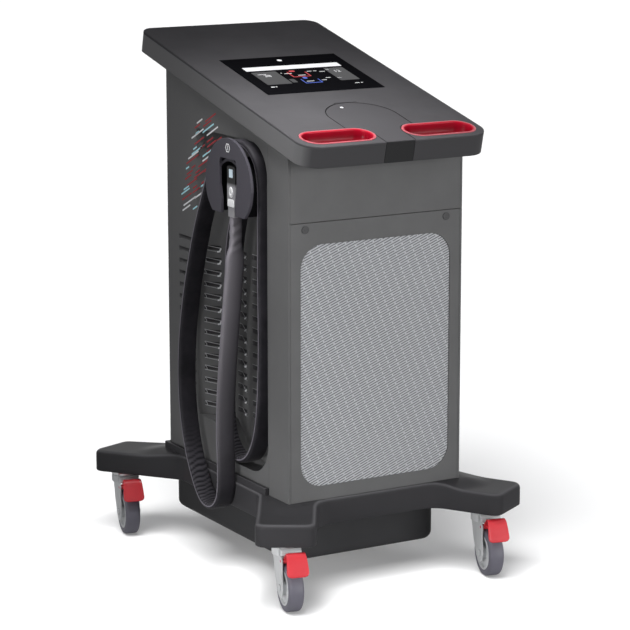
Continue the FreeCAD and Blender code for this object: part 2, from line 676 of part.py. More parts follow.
def side_panel():
    """Left side: a sheet with the hose recess pressed into it and its louvres."""
    face = [("stripRear + seam", "deckTop"), ("rearY", "deckTop"), ("rearY", roof("rearY")),
            ("stripRear + seam", roof("(stripRear + seam)"))]
    skin = prism("SideSkin", "YZ_Plane", face, "-sideX", "sheet")
    pan = recess_block("RecessOuter", "sheet", "0")
    hollow = recess_block("RecessInner", "0", "4")
    shell = cut("SideShell", fuse("SideSolid", skin, pan), hollow)
    rear_return = box("SideReturn", ("-sideX", "-sideX + returnWidth"), ("rearY - sheet", "rearY"),
                      ("deckTop", roof("rearY - sheet")))
    left = cut("LeftSide", fuse("SideReturned", shell, rear_return),
               group("SideSlots", *side_louvres()))
    keep("left_side_panel", left)
    keep("right_side_panel", mirror("RightSide", left))


def front_frame():
    """Side strips with their returns, tied by a cross rail and a sill."""
    strip = prism("Strip", "YZ_Plane",
                  [("frontY", "deckTop"), ("stripRear", "deckTop"),
                   ("stripRear", roof("stripRear")), ("frontY", roof("frontY"))],
                  "-sideX", "sheet")
    lip = box("StripReturn", ("-sideX", "-sideX + returnWidth"), ("frontY", "frontY + sheet"),
              ("deckTop", roof("frontY")))
    left = fuse("StripLeft", strip, lip)
    rail_y = ("doorBack + gap", "doorBack + gap + railThick")
    rail = box("Rail", ("-sideX + sheet / 2", "sideX - sheet / 2"), rail_y,
               ("seamZ - railHeight / 2", "seamZ + railHeight / 2"))
    sill = box("Sill", ("-sideX + sheet / 2", "sideX - sheet / 2"), rail_y,
               ("deckTop", "deckTop + grilleSill / 2"))
    bores = [cylinder("LatchBore" + side, "latchShankRadius + gap", "railThick + 2",
                      (x, "doorBack + gap - 1", "seamZ - latchDrop"), "Y")
             for side, x in (("L", "-latchX"), ("R", "latchX"))]
    solid = fuse("FrameSolid", left, mirror("StripRight", left), rail, sill)
    keep("front_frame", cut("FrontFrame", solid, *bores))


def front_fascia():
    """Plain upper front panel with folded flanges back to the cross rail."""
    x_high = "sideX - returnWidth - seam"
    x_low = negated(x_high)
    skin = box("FasciaSkin", (x_low, x_high), ("frontY", "frontY + 2"),
               ("seamZ + seam", roof("frontY")))
    flanges = [box("FasciaFlange" + side, limits, ("frontY", "doorBack + gap"),
                   ("seamZ + seam", "seamZ + railHeight / 2"))
               for side, limits in (("L", (x_low, x_low + " + 2")),
                                    ("R", (x_high + " - 2", x_high)))]
    keep("front_fascia", fuse("FrontFascia", skin, *flanges))


def grille_outline(grow):
    low = "deckTop + grilleSill - (%s)" % grow
    return rectangle("-grilleHalf - (%s)" % grow, "grilleHalf + (%s)" % grow,
                     low, "deckTop + grilleSill + grilleHeight + (%s)" % grow)


def filter_door():
    """Lift-off door: a folded frame, the grille behind its opening, and the foam."""
    x_high = "sideX - returnWidth - seam"
    top = "seamZ - seam"
    low = "deckTop + gap"
    pan = box("DoorBlock", (negated(x_high), x_high), ("frontY", "doorBack"), (low, top))
    room = box("DoorRoom", ("-(%s) + 2" % x_high, x_high + " - 2"),
               ("frontY + 2", "doorBack + 1"), (low + " + 2", top + " - 2"))
    rounds = dict.fromkeys(range(4), "grilleRound")
    mouth = prism("GrilleMouth", "XZ_Plane", grille_outline("0"), "frontY - 1", "4", rounds)
    bores = [cylinder("DoorBore" + side, "latchShankRadius + runningFit", "4",
                      (x, "frontY - 1", "seamZ - latchDrop"), "Y")
             for side, x in (("L", "-latchX"), ("R", "latchX"))]
    keep("filter_door", cut("FilterDoor", pan, room, mouth, *bores))
    lap = "grilleLap"
    keep("front_grille", prism("FrontGrille", "XZ_Plane", grille_outline(lap), "frontY + 2",
                               "grilleSheet", dict.fromkeys(range(4), "grilleRound + " + lap)))
    keep("filter_foam", prism("FilterFoam", "XZ_Plane", grille_outline(lap),
                              "frontY + 2 + grilleSheet", "foamThick",
                              dict.fromkeys(range(4), "grilleRound + " + lap)))


def quarter_turn(side, x):
    """Slotted head on the door, with a shank through the rail behind it."""
    level = "seamZ - latchDrop"
    head = cylinder(side + "LatchHead", "latchHeadRadius", "1.5",
                    (x, "frontY - 1.5", level), "Y")
    shank_end = "doorBack + gap + railThick + 4"
    shank = cylinder(side + "LatchShank", "latchShankRadius", "(%s) - frontY + 1" % shank_end,
                     (x, "frontY - 1", level), "Y")
    slot = box(side + "LatchSlot", (x + " - 6", x + " + 6"), ("frontY - 2", "frontY - 0.7"),
               (level + " - 0.8", level + " + 0.8"))
    return cut(side + "Latch", fuse(side + "LatchSolid", head, shank), slot)


def rear_panel():
    """Rear sheet with two banks of vent slots and the mains inlet's cut-out."""
    x_high = "sideX - returnWidth - seam"
    skin = box("RearSkin", (negated(x_high), x_high), ("rearY - sheet", "rearY"),
               ("deckTop", roof("rearY - sheet")))
    slots = []
    for bank, level in enumerate(("deckTop + 250", "deckTop + 560")):
        for row in range(9):
            height = "%s + %d * louvrePitch / 1.6" % (level, row)
            slots.append(box("RearSlot%d_%d" % (bank, row), ("-120", "120"),
                             ("rearY - sheet - 1", "rearY + 1"), (height, height + " + 6")))
    inlet = box("InletHole", ("90", "140"), ("rearY - sheet - 1", "rearY + 1"),
                ("deckTop + 60", "deckTop + 120"))
    keep("rear_panel", cut("RearPanel", skin, group("RearSlots", *slots, inlet)))


def mains_inlet():
    """Three-pin inlet below a rocker's bezel, in the rear panel."""
    flange = box("InletFlange", ("84", "146"), ("rearY", "rearY + 3"),
                 ("deckTop + 54", "deckTop + 126"))
    body = box("InletBody", ("90.3", "139.7"), ("rearY - 35", "rearY"),
               ("deckTop + 60.3", "deckTop + 119.7"))
    socket = box("InletSocket", ("102", "128"), ("rearY - 20", "rearY + 4"),
                 ("deckTop + 66", "deckTop + 84"))
    pins = [box("InletPin%d" % i, ("%d" % x, "%d + 2" % x), ("rearY - 21", "rearY - 2"),
                ("deckTop + 73", "deckTop + 77")) for i, x in enumerate((106, 114, 122))]
    rocker_room = box("RockerRoom", ("98", "132"), ("rearY - 14", "rearY + 4"),
                      ("deckTop + 92", "deckTop + 116"))
    bored = cut("InletBored", fuse("InletSolid", flange, body), socket, rocker_room)
    trunnion = cylinder("RockerPin", "2", "34", ("98", "rearY - 4", "deckTop + 104"), "X")
    keep("mains_inlet", fuse("MainsInlet", bored, trunnion, *pins))


def mains_switch():
    """Rocker that tips on a pin across its room."""
    face = [("rearY + 5", "deckTop + 94"), ("rearY + 3", "deckTop + 104"),
            ("rearY + 5", "deckTop + 114"), ("rearY - 4", "deckTop + 113"),
            ("rearY - 9", "deckTop + 104"), ("rearY - 4", "deckTop + 95")]
    rocker = prism("Rocker", "YZ_Plane", face, "99", "32")
    bore = cylinder("RockerBore", "2 + runningFit", "36", ("97", "rearY - 4", "deckTop + 104"),
                    "X")
    keep("mains_switch", cut("MainsSwitch", rocker, bore))


def panel_screws():
    """Pan-head screws round the rear panel's edge."""
    screws = []
    for row, level in enumerate(("deckTop + 25", "deckTop + 215", "deckTop + 500",
                                 "deckTop + 800")):
        for column, x in enumerate(("-sideX + 18", "sideX - 18")):
            name = "Screw%d_%d" % (row, column)
            screws.append(cylinder(name, "4.5", "2.2", (x, "rearY", level), "Y"))
    keep("panel_screws", group("PanelScrews", *screws))


# ---- hose hanger, hose and connector --------------------------------------

def tombstone(name, radius, x_low, x_high, foot):
    """Upright block with a round top about the hanger's axis."""
    top = cylinder(name + "Top", radius, "(%s) - (%s)" % (x_high, x_low),
                   (x_low, "-hubY", "hubZ"), "X")
    legs = box(name + "Legs", (x_low, x_high),
               ("-hubY - (%s)" % radius, "-hubY + (%s)" % radius), (foot, "hubZ"))
    return fuse(name, top, legs)


def face_plate():
    """Round-topped plate, drawn in below, with a slot that is open at the foot."""
    outer = "-plateX - plateThick"
    disc = cylinder("PlateDisc", "plateRadius", "plateThick", (outer, "plateY", "hubZ"), "X")
    lower = [("-plateRadius", "0"), ("-0.94 * plateRadius", "-0.55 * plateDrop"),
             ("-0.7 * plateRadius", "-plateDrop"), ("0.7 * plateRadius", "-plateDrop"),
             ("0.94 * plateRadius", "-0.55 * plateDrop"), ("plateRadius", "0")]
    skirt = prism("PlateSkirt", "YZ_Plane",
                  [("plateY + (%s)" % y, "hubZ + (%s)" % z) for y, z in lower],
                  outer, "plateThick", {1: "60", 4: "60", 2: "8", 3: "8"})
    trim = box("PlateTrim", (outer + " - 1", "-plateX + 1"),
               ("plateY - plateRadius - 1", "plateY + plateRadius + 1"),
               ("hubZ - 2 * plateRadius", "hubZ"))
    half = cut("PlateHalf", disc, trim)
    shape = [("-0.88 * slotHalf", "slotRise"), ("-slotHalf", "0.8 * slotRise"),
             ("-slotHalf", "0"), ("-0.8 * slotHalf", "-0.5 * plateDrop"),
             ("-0.8 * slotHalf", "-plateDrop - 1"), ("0.8 * slotHalf", "-plateDrop - 1"),
             ("0.8 * slotHalf", "-0.5 * plateDrop"), ("slotHalf", "0"),
             ("slotHalf", "0.8 * slotRise"), ("0.88 * slotHalf", "slotRise")]
    slot = prism("PlateSlot", "YZ_Plane",
                 [("plateY + (%s)" % y, "hubZ + (%s)" % z) for y, z in shape],
                 outer + " - 1", "plateThick + 2", {0: "5", 9: "5"})
    return cut("FacePlate", fuse("PlateSolid", half, skirt), slot)


def hangers():
    foot = "hubZ - plateDrop"
    hub = tombstone("Hub", "hubRadius", "-plateX", "-recessBack", foot)
    hollow = tombstone("HubRoom", "hubRadius - hubWall", "-plateX - 1",
                       "-recessBack - sheet", foot + " - 1")
    web_face = "-plugX + plugThick / 2 + gap"
    web = box("HubWeb", (web_face, web_face + " + 4"),
              ("-hubY - hubRadius + hubWall / 2", "-hubY + hubRadius - hubWall / 2"),
              ("pegZ - 25", "pegZ + 25"))
    peg = cylinder("HubPeg", "pegRadius", "pegReach + gap + 1",
                   (web_face + " - gap - pegReach", "-plugY", "pegZ"), "X")
    left = fuse("HangerLeft", cut("HubShell", hub, hollow), web, peg, face_plate())
    keep("hanger_left", left)
    keep("hanger_right", mirror("HangerRight", left))


def hose_glands():
    """Rubber glands inside the hubs, open below, one on each side."""
    x_out = "-glandX - hoseWidth / 2 - 3"
    y_half = "hoseThick / 2 + 3"
    block = box("GlandBlock", (x_out, "-recessBack - sheet"),
                ("-glandY - (%s)" % y_half, "-glandY + (%s)" % y_half),
                ("plugFoot - 2", "plugFoot - 2 + glandTall"))
    mouth = box("GlandMouth", ("-glandX - hoseWidth / 2 - gap", "-glandX + hoseWidth / 2 + gap"),
                ("-glandY - hoseThick / 2 - gap", "-glandY + hoseThick / 2 + gap"),
                ("plugFoot - 3", "plugFoot - 2 + 6"))
    left = cut("GlandLeft", block, mouth)
    keep("hose_glands", group("HoseGlands", left, mirror("GlandRight", left)))


# The hose's route, left side, its heights measured from the deck: down from its gland, up
# the front of the recess, over the hub, down outside, and up again to the connector that
# is parked in the face plate.
HOSE_ROUTE = [
    (-200, -54, 574.7), (-199.5, -53, 509), (-198, -36, 417), (-197, -12, 317),
    (-196, 14, 217), (-196, 24, 127), (-196, 2, 65), (-196, -52, 43), (-196, -108, 63),
    (-196, -142, 127), (-196, -155, 217), (-196, -159, 327), (-196, -156, 437),
    (-196, -158, 547), (-196, -157, 659), (-204, -119, 700), (-213, -65, 700),
    (-221, -26, 661), (-223, -6, 603), (-225, 30, 535), (-228, 66, 451), (-231, 96, 357),
    (-235, 114, 253), (-239, 116, 147), (-240, 98, 51), (-240, 60, -17), (-240, 24, -51),
    (-240, -8, -58), (-240, -38, -47), (-240, -58, -21), (-240, -58, 29), (-240, -50, 103),
    (-240, -56, 197), (-239, -69, 302), (-238, -83, 402), (-235.5, -99, 492),
    (-235, -101, 570.4)]


def rounded_path(route):
    """Straight runs joined by tangent arcs, with the arcs' radii."""
    points = [Vector(*point) for point in route]
    edges = []
    radii = []
    start = points[0]
    for before, here, after in zip(points, points[1:], points[2:]):
        back = before - here
        ahead = after - here
        half_turn = (math.pi - back.getAngle(ahead)) / 2
        tangent = 0.45 * min(back.Length, ahead.Length)
        radius = tangent / math.tan(half_turn)
        back.normalize()
        ahead.normalize()
        first = here + back * tangent
        last = here + ahead * tangent
        inward = back + ahead
        inward.normalize()
        depth = radius / math.cos(half_turn) - radius
        edges.append(Part.LineSegment(start, first).toShape())
        edges.append(Part.Arc(first, here + inward * depth, last).toShape())
        radii.append(radius)
        start = last
    edges.append(Part.LineSegment(start, points[-1]).toShape())
    return Part.Wire(edges), radii


def stadium_wire(centre, width, thick):
    """A flat hose's section: straight sides along X and round ends."""
    radius = thick / 2
    reach = width / 2 - radius
    left = centre - Vector(reach, 0, 0)
    right = centre + Vector(reach, 0, 0)
    up = Vector(0, radius, 0)
    out = Vector(radius, 0, 0)
    return Part.Wire([
        Part.LineSegment(left - up, right - up).toShape(),
        Part.Arc(right - up, right + out, right + up).toShape(),
        Part.LineSegment(right + up, left + up).toShape(),
        Part.Arc(left + up, left - out, left - up).toShape()])


def hose():
    """One flat hose swept along its route, its width kept along X."""
    deck = num("deckTop")
    route = [(x, y, z + deck) for x, y, z in HOSE_ROUTE]
    path, radii = rounded_path(route)
    width = num("hoseWidth")
    thick = num("hoseThick")
    sweep = Part.BRepOffsetAPI.MakePipeShell(path)
    sweep.setBiNormalMode(Vector(1, 0, 0))
    sweep.add(stadium_wire(Vector(*route[0]), width, thick))
    sweep.build()
    sweep.makeSolid()
    item = doc.addObject("Part::Feature", "Hose")
    item.Shape = sweep.shape()
    item.Placement = Placement()
    area = math.pi * thick ** 2 / 4 + (width - thick) * thick
    print("hose length %.1f, smallest radii %s" % (path.Length, sorted(round(r) for r in radii)[:6]))
    print("hose volume %.0f, section times length %.0f" % (item.Shape.Volume, area * path.Length))
    keep("hose", item)


def connector():
    """Parked hose connector: a collar, a body and the room for its release button."""
    wide = "plugWide / 2"
    thin = "plugThick / 2"
    shoulder = "plugFoot + 18"
    top = "plugFoot + plugTall"
    face = [("-plugY - 0.75 * " + wide, "plugFoot"), ("-plugY + 0.75 * " + wide, "plugFoot"),
            ("-plugY + 0.75 * " + wide, shoulder), ("-plugY + " + wide, shoulder + " + 8"),
            ("-plugY + " + wide, top), ("-plugY - " + wide, top),
            ("-plugY - " + wide, shoulder + " + 8"), ("-plugY - 0.75 * " + wide, shoulder)]
    body = prism("PlugBody", "YZ_Plane", face, "-plugX - " + thin, "plugThick",
                 {4: "6", 5: "6"})
    socket = cylinder("PegSocket", "pegRadius + runningFit", "pegReach + 1",
                      ("-plugX + plugThick / 2 - pegReach - 0.5", "-plugY", "pegZ"), "X")
    button_low = top + " - 6 - buttonTall"
    half = "buttonWide / 2"
    room = box("ButtonRoom", ("-plugX - plugThick / 2 - 1", "-plugX - plugThick / 2 + 9"),
               ("-plugY - %s - gap" % half, "-plugY + %s + gap" % half),
               (button_low + " - gap", top + " - 6 + gap"))
    keep("connector_body", cut("ConnectorBody", body, room, socket))
    keep("connector_button", box(
        "ConnectorButton",
        ("-plugX - plugThick / 2 - 1", "-plugX - plugThick / 2 + 8.7 - buttonTravel"),
        ("-plugY - " + half, "-plugY + " + half), (button_low, top + " - 6")))


# ---- console -------------------------------------------------------------

def console_plate(name, inset, w_low, w_high):
    """A rounded plate of the console's plan, drawn in by inset."""
    half = "consoleWidth / 2 - (%s)" % inset
    corners = rectangle(negated(half), half, inset, "consoleLength - (%s)" % inset)
    front = "consoleFrontRound - (%s)" % inset
    rear = "consoleRearRound - (%s)" % inset
    return prism(name, "XY_Plane", corners, w_low, "(%s) - (%s)" % (w_high, w_low),
                 {0: front, 1: front, 2: rear, 3: rear}, tilted=True)


def stadium(name, x, v, length, radius, w_low, w_high):
    """A block with round ends along X, square to the console's top."""
    reach = "(%s) / 2 - (%s)" % (length, radius)
    bar = box(name + "Bar", ("%s - (%s)" % (x, reach), "%s + (%s)" % (x, reach)),
              ("%s - (%s)" % (v, radius), "%s + (%s)" % (v, radius)), (w_low, w_high), True)
    ends = [console_cylinder(name + "End" + side, radius, "%s %s (%s)" % (x, sign, reach), v,
                             (w_low, w_high)) for side, sign in (("L", "-"), ("R", "+"))]
    return fuse(name, bar, *ends)


def lid_form(name, grow, w_low, w_high):
    """The filler lid's plan: a round head, shoulders that pass the cups, and a stem."""
    level = (w_low, w_high)
    head = console_cylinder(name + "Head", "lidRadius + (%s)" % grow, "0", "lidV", level)
    shoulder = "lidRadius - 1 + (%s)" % grow
    middle = box(name + "Middle", (negated(shoulder), shoulder), ("cupV", "lidV"), level, True)
    stem_half = "lidStemHalf + (%s)" % grow
    stem = box(name + "Stem", (negated(stem_half), stem_half), ("-(%s)" % grow, "cupV"), level,
               True)
    leaf_half = "lidHingeHalf + (%s)" % grow
    leaf = box(name + "Leaf", (negated(leaf_half), leaf_half),
               ("lidV", "lidHingeV + topThick / 2 + (%s)" % grow), level, True)
    cup_end = "cupX - cupLength / 2 + cupRadius"
    clear = "%s - lidStemHalf - (%s)" % (cup_end, grow)
    bites = [console_cylinder(name + "Bite" + side, clear, "%s(%s)" % (sign, cup_end), "cupV",
                              level) for side, sign in (("L", "-"), ("R", ""))]
    return cut(name, fuse(name + "Blank", head, middle, stem, leaf), *bites)


def console_tray():
    """Lower shell of the console, with openings for the filler and the display's cables."""
    outer = console_plate("TrayShell", "0", "-consoleThick", "-topThick")
    room = console_plate("TrayRoom", "consoleWall", "-consoleThick + consoleWall", "0")
    neck_v = ("((consoleOverhang + cabinetDepth / 2 - neckY) / cos(slope)"
              " - (consoleThick - consoleWall / 2) * tan(slope))")
    reach = "neckRadius + 12"
    filler = box("TrayFiller", (negated(reach), reach),
                 ("%s - (%s)" % (neck_v, reach), "%s + (%s)" % (neck_v, reach)),
                 ("-consoleThick - 1", "-consoleThick + consoleWall + 1"), True)
    cable = box("TrayCable", ("-50", "50"), ("screenV + 60", "screenV + 140"),
                ("-consoleThick - 1", "-consoleThick + consoleWall + 1"), True)
    notch_half = "lidStemHalf + lidSeam"
    notch = box("TrayNotch", (negated(notch_half), notch_half), ("-1", "lidFlap + lidSeam"),
                ("-consoleThick - 1", "0"), True)
    keep("console_tray", cut("ConsoleTray", outer, room, filler, cable, notch))


def console_top():
    """Top plate with openings for the glass, the cups and the lid."""
    plate = console_plate("TopPlate", "0", "-topThick", "0")
    soften(plate, "topEdgeRound", at_level(0))
    glass = box("GlassOpening", ("-screenWidth / 2 - gap", "screenWidth / 2 + gap"),
                ("screenV - gap", "screenV + screenLength + gap"),
                ("-topThick - 1", "1"), True)
    cups = [stadium("CupOpening" + side, x, "cupV", "cupLength + 2 * cupWall",
                    "cupRadius + cupWall", "-topThick - 1", "1")
            for side, x in (("L", "-cupX"), ("R", "cupX"))]
    lid = lid_form("LidOpening", "lidSeam", "-topThick - 1", "1")
    pin = cylinder("LidPinBore", "lidPinRadius", "2 * lidHingeHalf + 12",
                   ("-lidHingeHalf - 6", "0", "0"), "X")
    hinge_line(pin)
    keep("console_top", cut("ConsoleTop", plate, glass, *cups, lid, pin))


def hinge_line(item):
    """Moves a cylinder along X onto the lid's hinge axis."""
    v = "lidHingeV"
    w = "lidPinW"
    item.setExpression("Placement.Base.y", bind("consoleY + %s * cos(slope) - (%s) * sin(slope)"
                                                % (v, w)))
    item.setExpression("Placement.Base.z", bind(
        "consoleFrontHeight + %s * sin(slope) + (%s) * cos(slope)" % (v, w)))
    return item


def handle_cup(side, x):
    """Red cup sunk in the console, with a rim that lies on the top plate."""
    def bowl(name, grow, low):
        half = "cupLength / 2 + (%s)" % grow
        radius = "cupRadius + (%s)" % grow
        corners = rectangle("%s - (%s)" % (x, half), "%s + (%s)" % (x, half),
                            "cupV - (%s)" % radius, "cupV + (%s)" % radius)
        body = prism(name, "XY_Plane", corners, low, "cupRimThick - (%s)" % low,
                     dict.fromkeys(range(4), radius + " - 0.01"), tilted=True)
        return soften(body, "cupRadius / 2 + (%s)" % grow, at_level(num(low)))
    rim = stadium(side + "CupRim", x, "cupV", "cupLength + 2 * cupRim", "cupRadius + cupRim",
                  "0", "cupRimThick")
    outer = bowl(side + "CupOuter", "cupWall - 0.2", "-cupDepth - cupWall")
    inner = bowl(side + "CupInner", "0", "-cupDepth")
    return cut(side + "Cup", fuse(side + "CupSolid", rim, outer), inner)


def screen():
    """Cover glass flush with the top plate, and the display unit behind it."""
    v = ("screenV", "screenV + screenLength")
    keep("screen_glass", box("ScreenGlass", ("-screenWidth / 2", "screenWidth / 2"), v,
                             ("gap - glassThick", "gap"), True))
    shell = box("DisplayShell", ("-screenWidth / 2 - 12", "screenWidth / 2 + 12"),
                ("screenV - 10", "screenV + screenLength + 10"),
                ("-topThick - displayThick", "-topThick"), True)
    panel = box("DisplayPanel", ("-screenWidth / 2 + 1", "screenWidth / 2 - 1"),
                ("screenV + 1", "screenV + screenLength - 1"),
                ("-topThick - 1", "gap - glassThick"), True)
    keep("display_module", fuse("DisplayModule", shell, panel))


def filler_lid():
    """Lid flush with the console; its stem turns down over the front as a finger tab."""
    plate = lid_form("LidPlate", "0", "-topThick", "0")
    flap = box("LidFlap", ("-lidStemHalf", "lidStemHalf"), ("0", "lidFlap"),
               ("-consoleThick", "-topThick / 2"), True)
    bore = hinge_line(cylinder("LidBore", "lidPinRadius + runningFit", "2 * lidHingeHalf + 2",
                               ("-lidHingeHalf - 1", "0", "0"), "X"))
    leaf_top = box("LeafTrim", ("-lidHingeHalf - 1", "lidHingeHalf + 1"),
                   ("lidHingeV", "lidHingeV + topThick"), ("-topThick - 1", "1"), True)
    barrel = hinge_line(cylinder("LidBarrel", "topThick / 2", "2 * lidHingeHalf",
                                 ("-lidHingeHalf", "0", "0"), "X"))
    solid = fuse("LidSolid", cut("LidTrimmed", plate, leaf_top), flap, barrel)
    keep("filler_lid", cut("FillerLid", solid, bore))
    keep("lid_hinge_pin", hinge_line(cylinder("LidPin", "lidPinRadius",
                                              "2 * lidHingeHalf + 12",
                                              ("-lidHingeHalf - 6", "0", "0"), "X")))


# ---- inside --------------------------------------------------------------

def chassis_frame():
    """Welded floor plate, four posts and the shelf between them."""
    floor = box("Floor", ("-sideX + sheet", "sideX - sheet"),
                ("doorBack + gap + railThick", "rearY - sheet"),
                ("deckTop", "deckTop + chassisThick"))
    hole = box("FloorHole", ("-90", "90"), ("-170", "-70"), ("deckTop - 1", "deckTop + 4"))
    corner_x = "sideX - sheet"
    posts = []
    for name, y_low in (("Front", "doorBack + gap + railThick"),
                        ("Rear", "rearY - sheet - postWidth")):
        y_high = y_low + " + postWidth"
        solid = box("Post" + name, ("-(%s)" % corner_x, "-(%s) + postWidth" % corner_x),
                    (y_low, y_high), ("deckTop", roof("(%s)" % y_low)))
        room = box("PostRoom" + name, ("-(%s) + 2" % corner_x, "-(%s) + postWidth - 2" % corner_x),
                   (y_low + " + 2", y_high + " - 2"), ("deckTop + 4", roof("(%s)" % y_low) + " + 1"))
        left = cut("PostTube" + name, solid, room)
        posts += [left, mirror("PostTubeRight" + name, left)]
    narrow = "recessBack - sheet - gap"
    wide = "sideX - sheet"
    front = "doorBack + gap + railThick"
    shelf_half = [(wide, front), (wide, "-recessFront - sheet - gap"),
                  (narrow, "-recessFront - sheet - gap"), (narrow, "recessRear + 2 * sheet"),
                  (wide, "recessRear + 2 * sheet"), (wide, "rearY - sheet")]
    shelf = prism("Shelf", "XY_Plane", mirrored(shelf_half), "shelfZ", "chassisThick")
    keep("chassis_frame", fuse("ChassisFrame", cut("FloorPlate", floor, hole), shelf, *posts))


def reservoir():
    """Closed tank on the shelf, open at the neck."""
    y = ("-reservoirFront", "-reservoirRear")
    low = "shelfZ + chassisThick"
    outer = box("TankOuter", ("-reservoirHalf", "reservoirHalf"), y, (low, "reservoirTop"))
    inner = box("TankInner", ("-reservoirHalf + reservoirWall", "reservoirHalf - reservoirWall"),
                (y[0] + " + reservoirWall", y[1] + " - reservoirWall"),
                (low + " + reservoirWall", "reservoirTop - reservoirWall"))
    hole = cylinder("TankHole", "neckRadius - neckWall", "3 * reservoirWall",
                    ("0", "-neckY", "reservoirTop - 2 * reservoirWall"))
    keep("reservoir", cut("Reservoir", outer, inner, hole))


def filler_neck():
    """Neck from the tank up through the console's floor."""
    tube = cylinder("NeckTube", "neckRadius", "neckHeight", ("0", "-neckY", "reservoirTop"))
    bore = cylinder("NeckBore", "neckRadius - neckWall", "neckHeight + 2",
                    ("0", "-neckY", "reservoirTop - 1"))
    flange = cylinder("NeckFlange", "neckRadius + 8", "3", ("0", "-neckY", "reservoirTop"))
    keep("filler_neck", cut("FillerNeck", fuse("NeckSolid", tube, flange), bore))


def filler_cap():
    """Screw cap with a grip bar and a plug in the neck."""
    top = "reservoirTop + neckHeight"
    skirt = cylinder("CapSkirt", "neckRadius + 4", "capHeight - 6",
                     ("0", "-neckY", top + " - capHeight + 8"))
    room = cylinder("CapRoom", "neckRadius + runningFit", "capHeight - 8",
                    ("0", "-neckY", top + " - capHeight + 8"))
    plug = cylinder("CapPlug", "neckRadius - neckWall - runningFit", "capHeight",
                    ("0", "-neckY", top + " - capHeight + 2"))
    grip = box("CapGrip", ("-neckRadius + 8", "neckRadius - 8"), ("-neckY - 4", "-neckY + 4"),
               (top + " + 1", top + " + 8"))
    shell = cut("CapShell", skirt, room)
    keep("filler_cap", fuse("FillerCap", shell, plug, grip))


def condenser():
    """Finned coil behind the filter, its header plates joined by tubes."""
    y = ("doorBack + gap + railThick + gap", "-shroudFront - 3")
    low = "deckTop + chassisThick"
    high = low + " + condenserHeight"
    parts = [box("Header" + side, limits, y, (low, high)) for side, limits in (
        ("L", ("-condenserHalf", "-condenserHalf + 6")),
        ("R", ("condenserHalf - 6", "condenserHalf")))]
    for row in range(6):
        level = "%s + condenserHeight * %d / 7" % (low, row + 1)
        parts.append(cylinder("CoilTube%d" % row, "5", "2 * condenserHalf",
                              ("-condenserHalf", "(%s + %s) / 2" % y, level), "X"))
    for column in range(23):
        x = "-condenserHalf + condenserHalf * 2 * %d / 24" % (column + 1)
        parts.append(box("Fin%d" % column, (x + " - 0.6", x + " + 0.6"), y,
                         (low + " + 8", high + " - 8")))
    keep("condenser", fuse("Condenser", *parts))


def fan_shroud():
    """Plate with a ring round the fan, and a bar that carries its shaft."""
    half = "recessBack - sheet - 4"
    ring_outer = "fanRadius + 6"
    back = "-shroudFront + fanDepth + 8"
    plate = box("ShroudPlate", (negated(half), half), ("-shroudFront - 3", "-shroudFront"),
                ("deckTop + chassisThick", "shelfZ"))
    ring = cylinder("ShroudRing", ring_outer, "fanDepth + 8 + 3",
                    ("0", "-shroudFront - 3", "fanZ"), "Y")
    bore = cylinder("ShroudBore", "fanRadius + 3", "fanDepth + 20",
                    ("0", "-shroudFront - 8", "fanZ"), "Y")
    bar = box("ShroudBar", ("-fanRadius - 5", "fanRadius + 5"), (back + " - 5", back),
              ("fanZ - 16", "fanZ + 16"))
    shaft = cylinder("FanShaft", "4", "fanDepth + 4", ("0", back + " - 4 - fanDepth", "fanZ"),
                     "Y")
    opened = cut("ShroudOpened", fuse("ShroudSolid", plate, ring), bore)
    keep("fan_shroud", fuse("FanShroud", opened, bar, shaft))


def fan_rotor():
    """Hub with pitched blades, running on the shroud's shaft."""
    start = "-shroudFront + 2"
    hub = cylinder("FanHub", "fanHubRadius", "fanDepth - 6", ("0", start, "fanZ"), "Y")
    bore = cylinder("FanBore", "4 + runningFit", "fanDepth", ("0", start + " - 1", "fanZ"), "Y")
    blades = []
    count = int(num("fanBlades"))
    for i in range(count):
        blade = box("Blade%d" % i, ("0", "fanRadius - fanHubRadius / 2"), ("0", "bladeThick"),
                    ("0", "bladeChord"))
        turn = Rotation(Vector(0, 1, 0), 360.0 * i / count)
        whole = turn.multiply(Rotation(Vector(1, 0, 0), 58))
        out = turn.multVec(Vector(1, 0, 0))
        lean = whole.multVec(Vector(0, num("bladeThick / 2"), num("bladeChord / 2")))
        blade.Placement = Placement(Vector(), whole)
        for letter, text in (("x", "fanHubRadius / 2 * %.6f - (%.6f)" % (out.x, lean.x)),
                             ("y", "%s + fanDepth / 2 - 3 - (%.6f)" % (start, lean.y)),
                             ("z", "fanZ + fanHubRadius / 2 * %.6f - (%.6f)" % (out.z, lean.z))):
            blade.setExpression("Placement.Base." + letter, bind(text))
        blades.append(blade)
    trim = cylinder("BladeTrim", "fanRadius", "fanDepth - 6", ("0", start, "fanZ"), "Y")
    swept = common("BladesTrimmed", fuse("Blades", *blades), trim)
    keep("fan_rotor", cut("FanRotor", fuse("RotorSolid", hub, swept), bore))


def compressor():
    """Domed steel can on a foot plate."""
    at = ("-recessBack + 70", "52")
    low = "deckTop + chassisThick"
    foot = box("CompressorFoot", ("-recessBack + 8", "-recessBack + 132"), ("-10", "114"), (low, low + " + 4"))
    can = cylinder("CompressorCan", "compressorRadius", "compressorHeight",
                   (at[0], at[1], low + " + 4"))
    doc.recompute()
    domed = doc.addObject("Part::Fillet", "CompressorDome")
    domed.Base = can
    radius = num("compressorRadius / 2")
    top = max(vertex.Z for vertex in can.Shape.Vertexes)
    domed.Edges = [(i, radius, radius) for i, edge in enumerate(can.Shape.Edges, 1)
                   if isinstance(edge.Curve, Part.Circle) and edge.BoundBox.ZMin > top - 1]
    stub = cylinder("CompressorStub", "7", "30", (at[0], at[1], low + " + compressorHeight - 8"))
    keep("compressor", fuse("Compressor", foot, domed, stub))


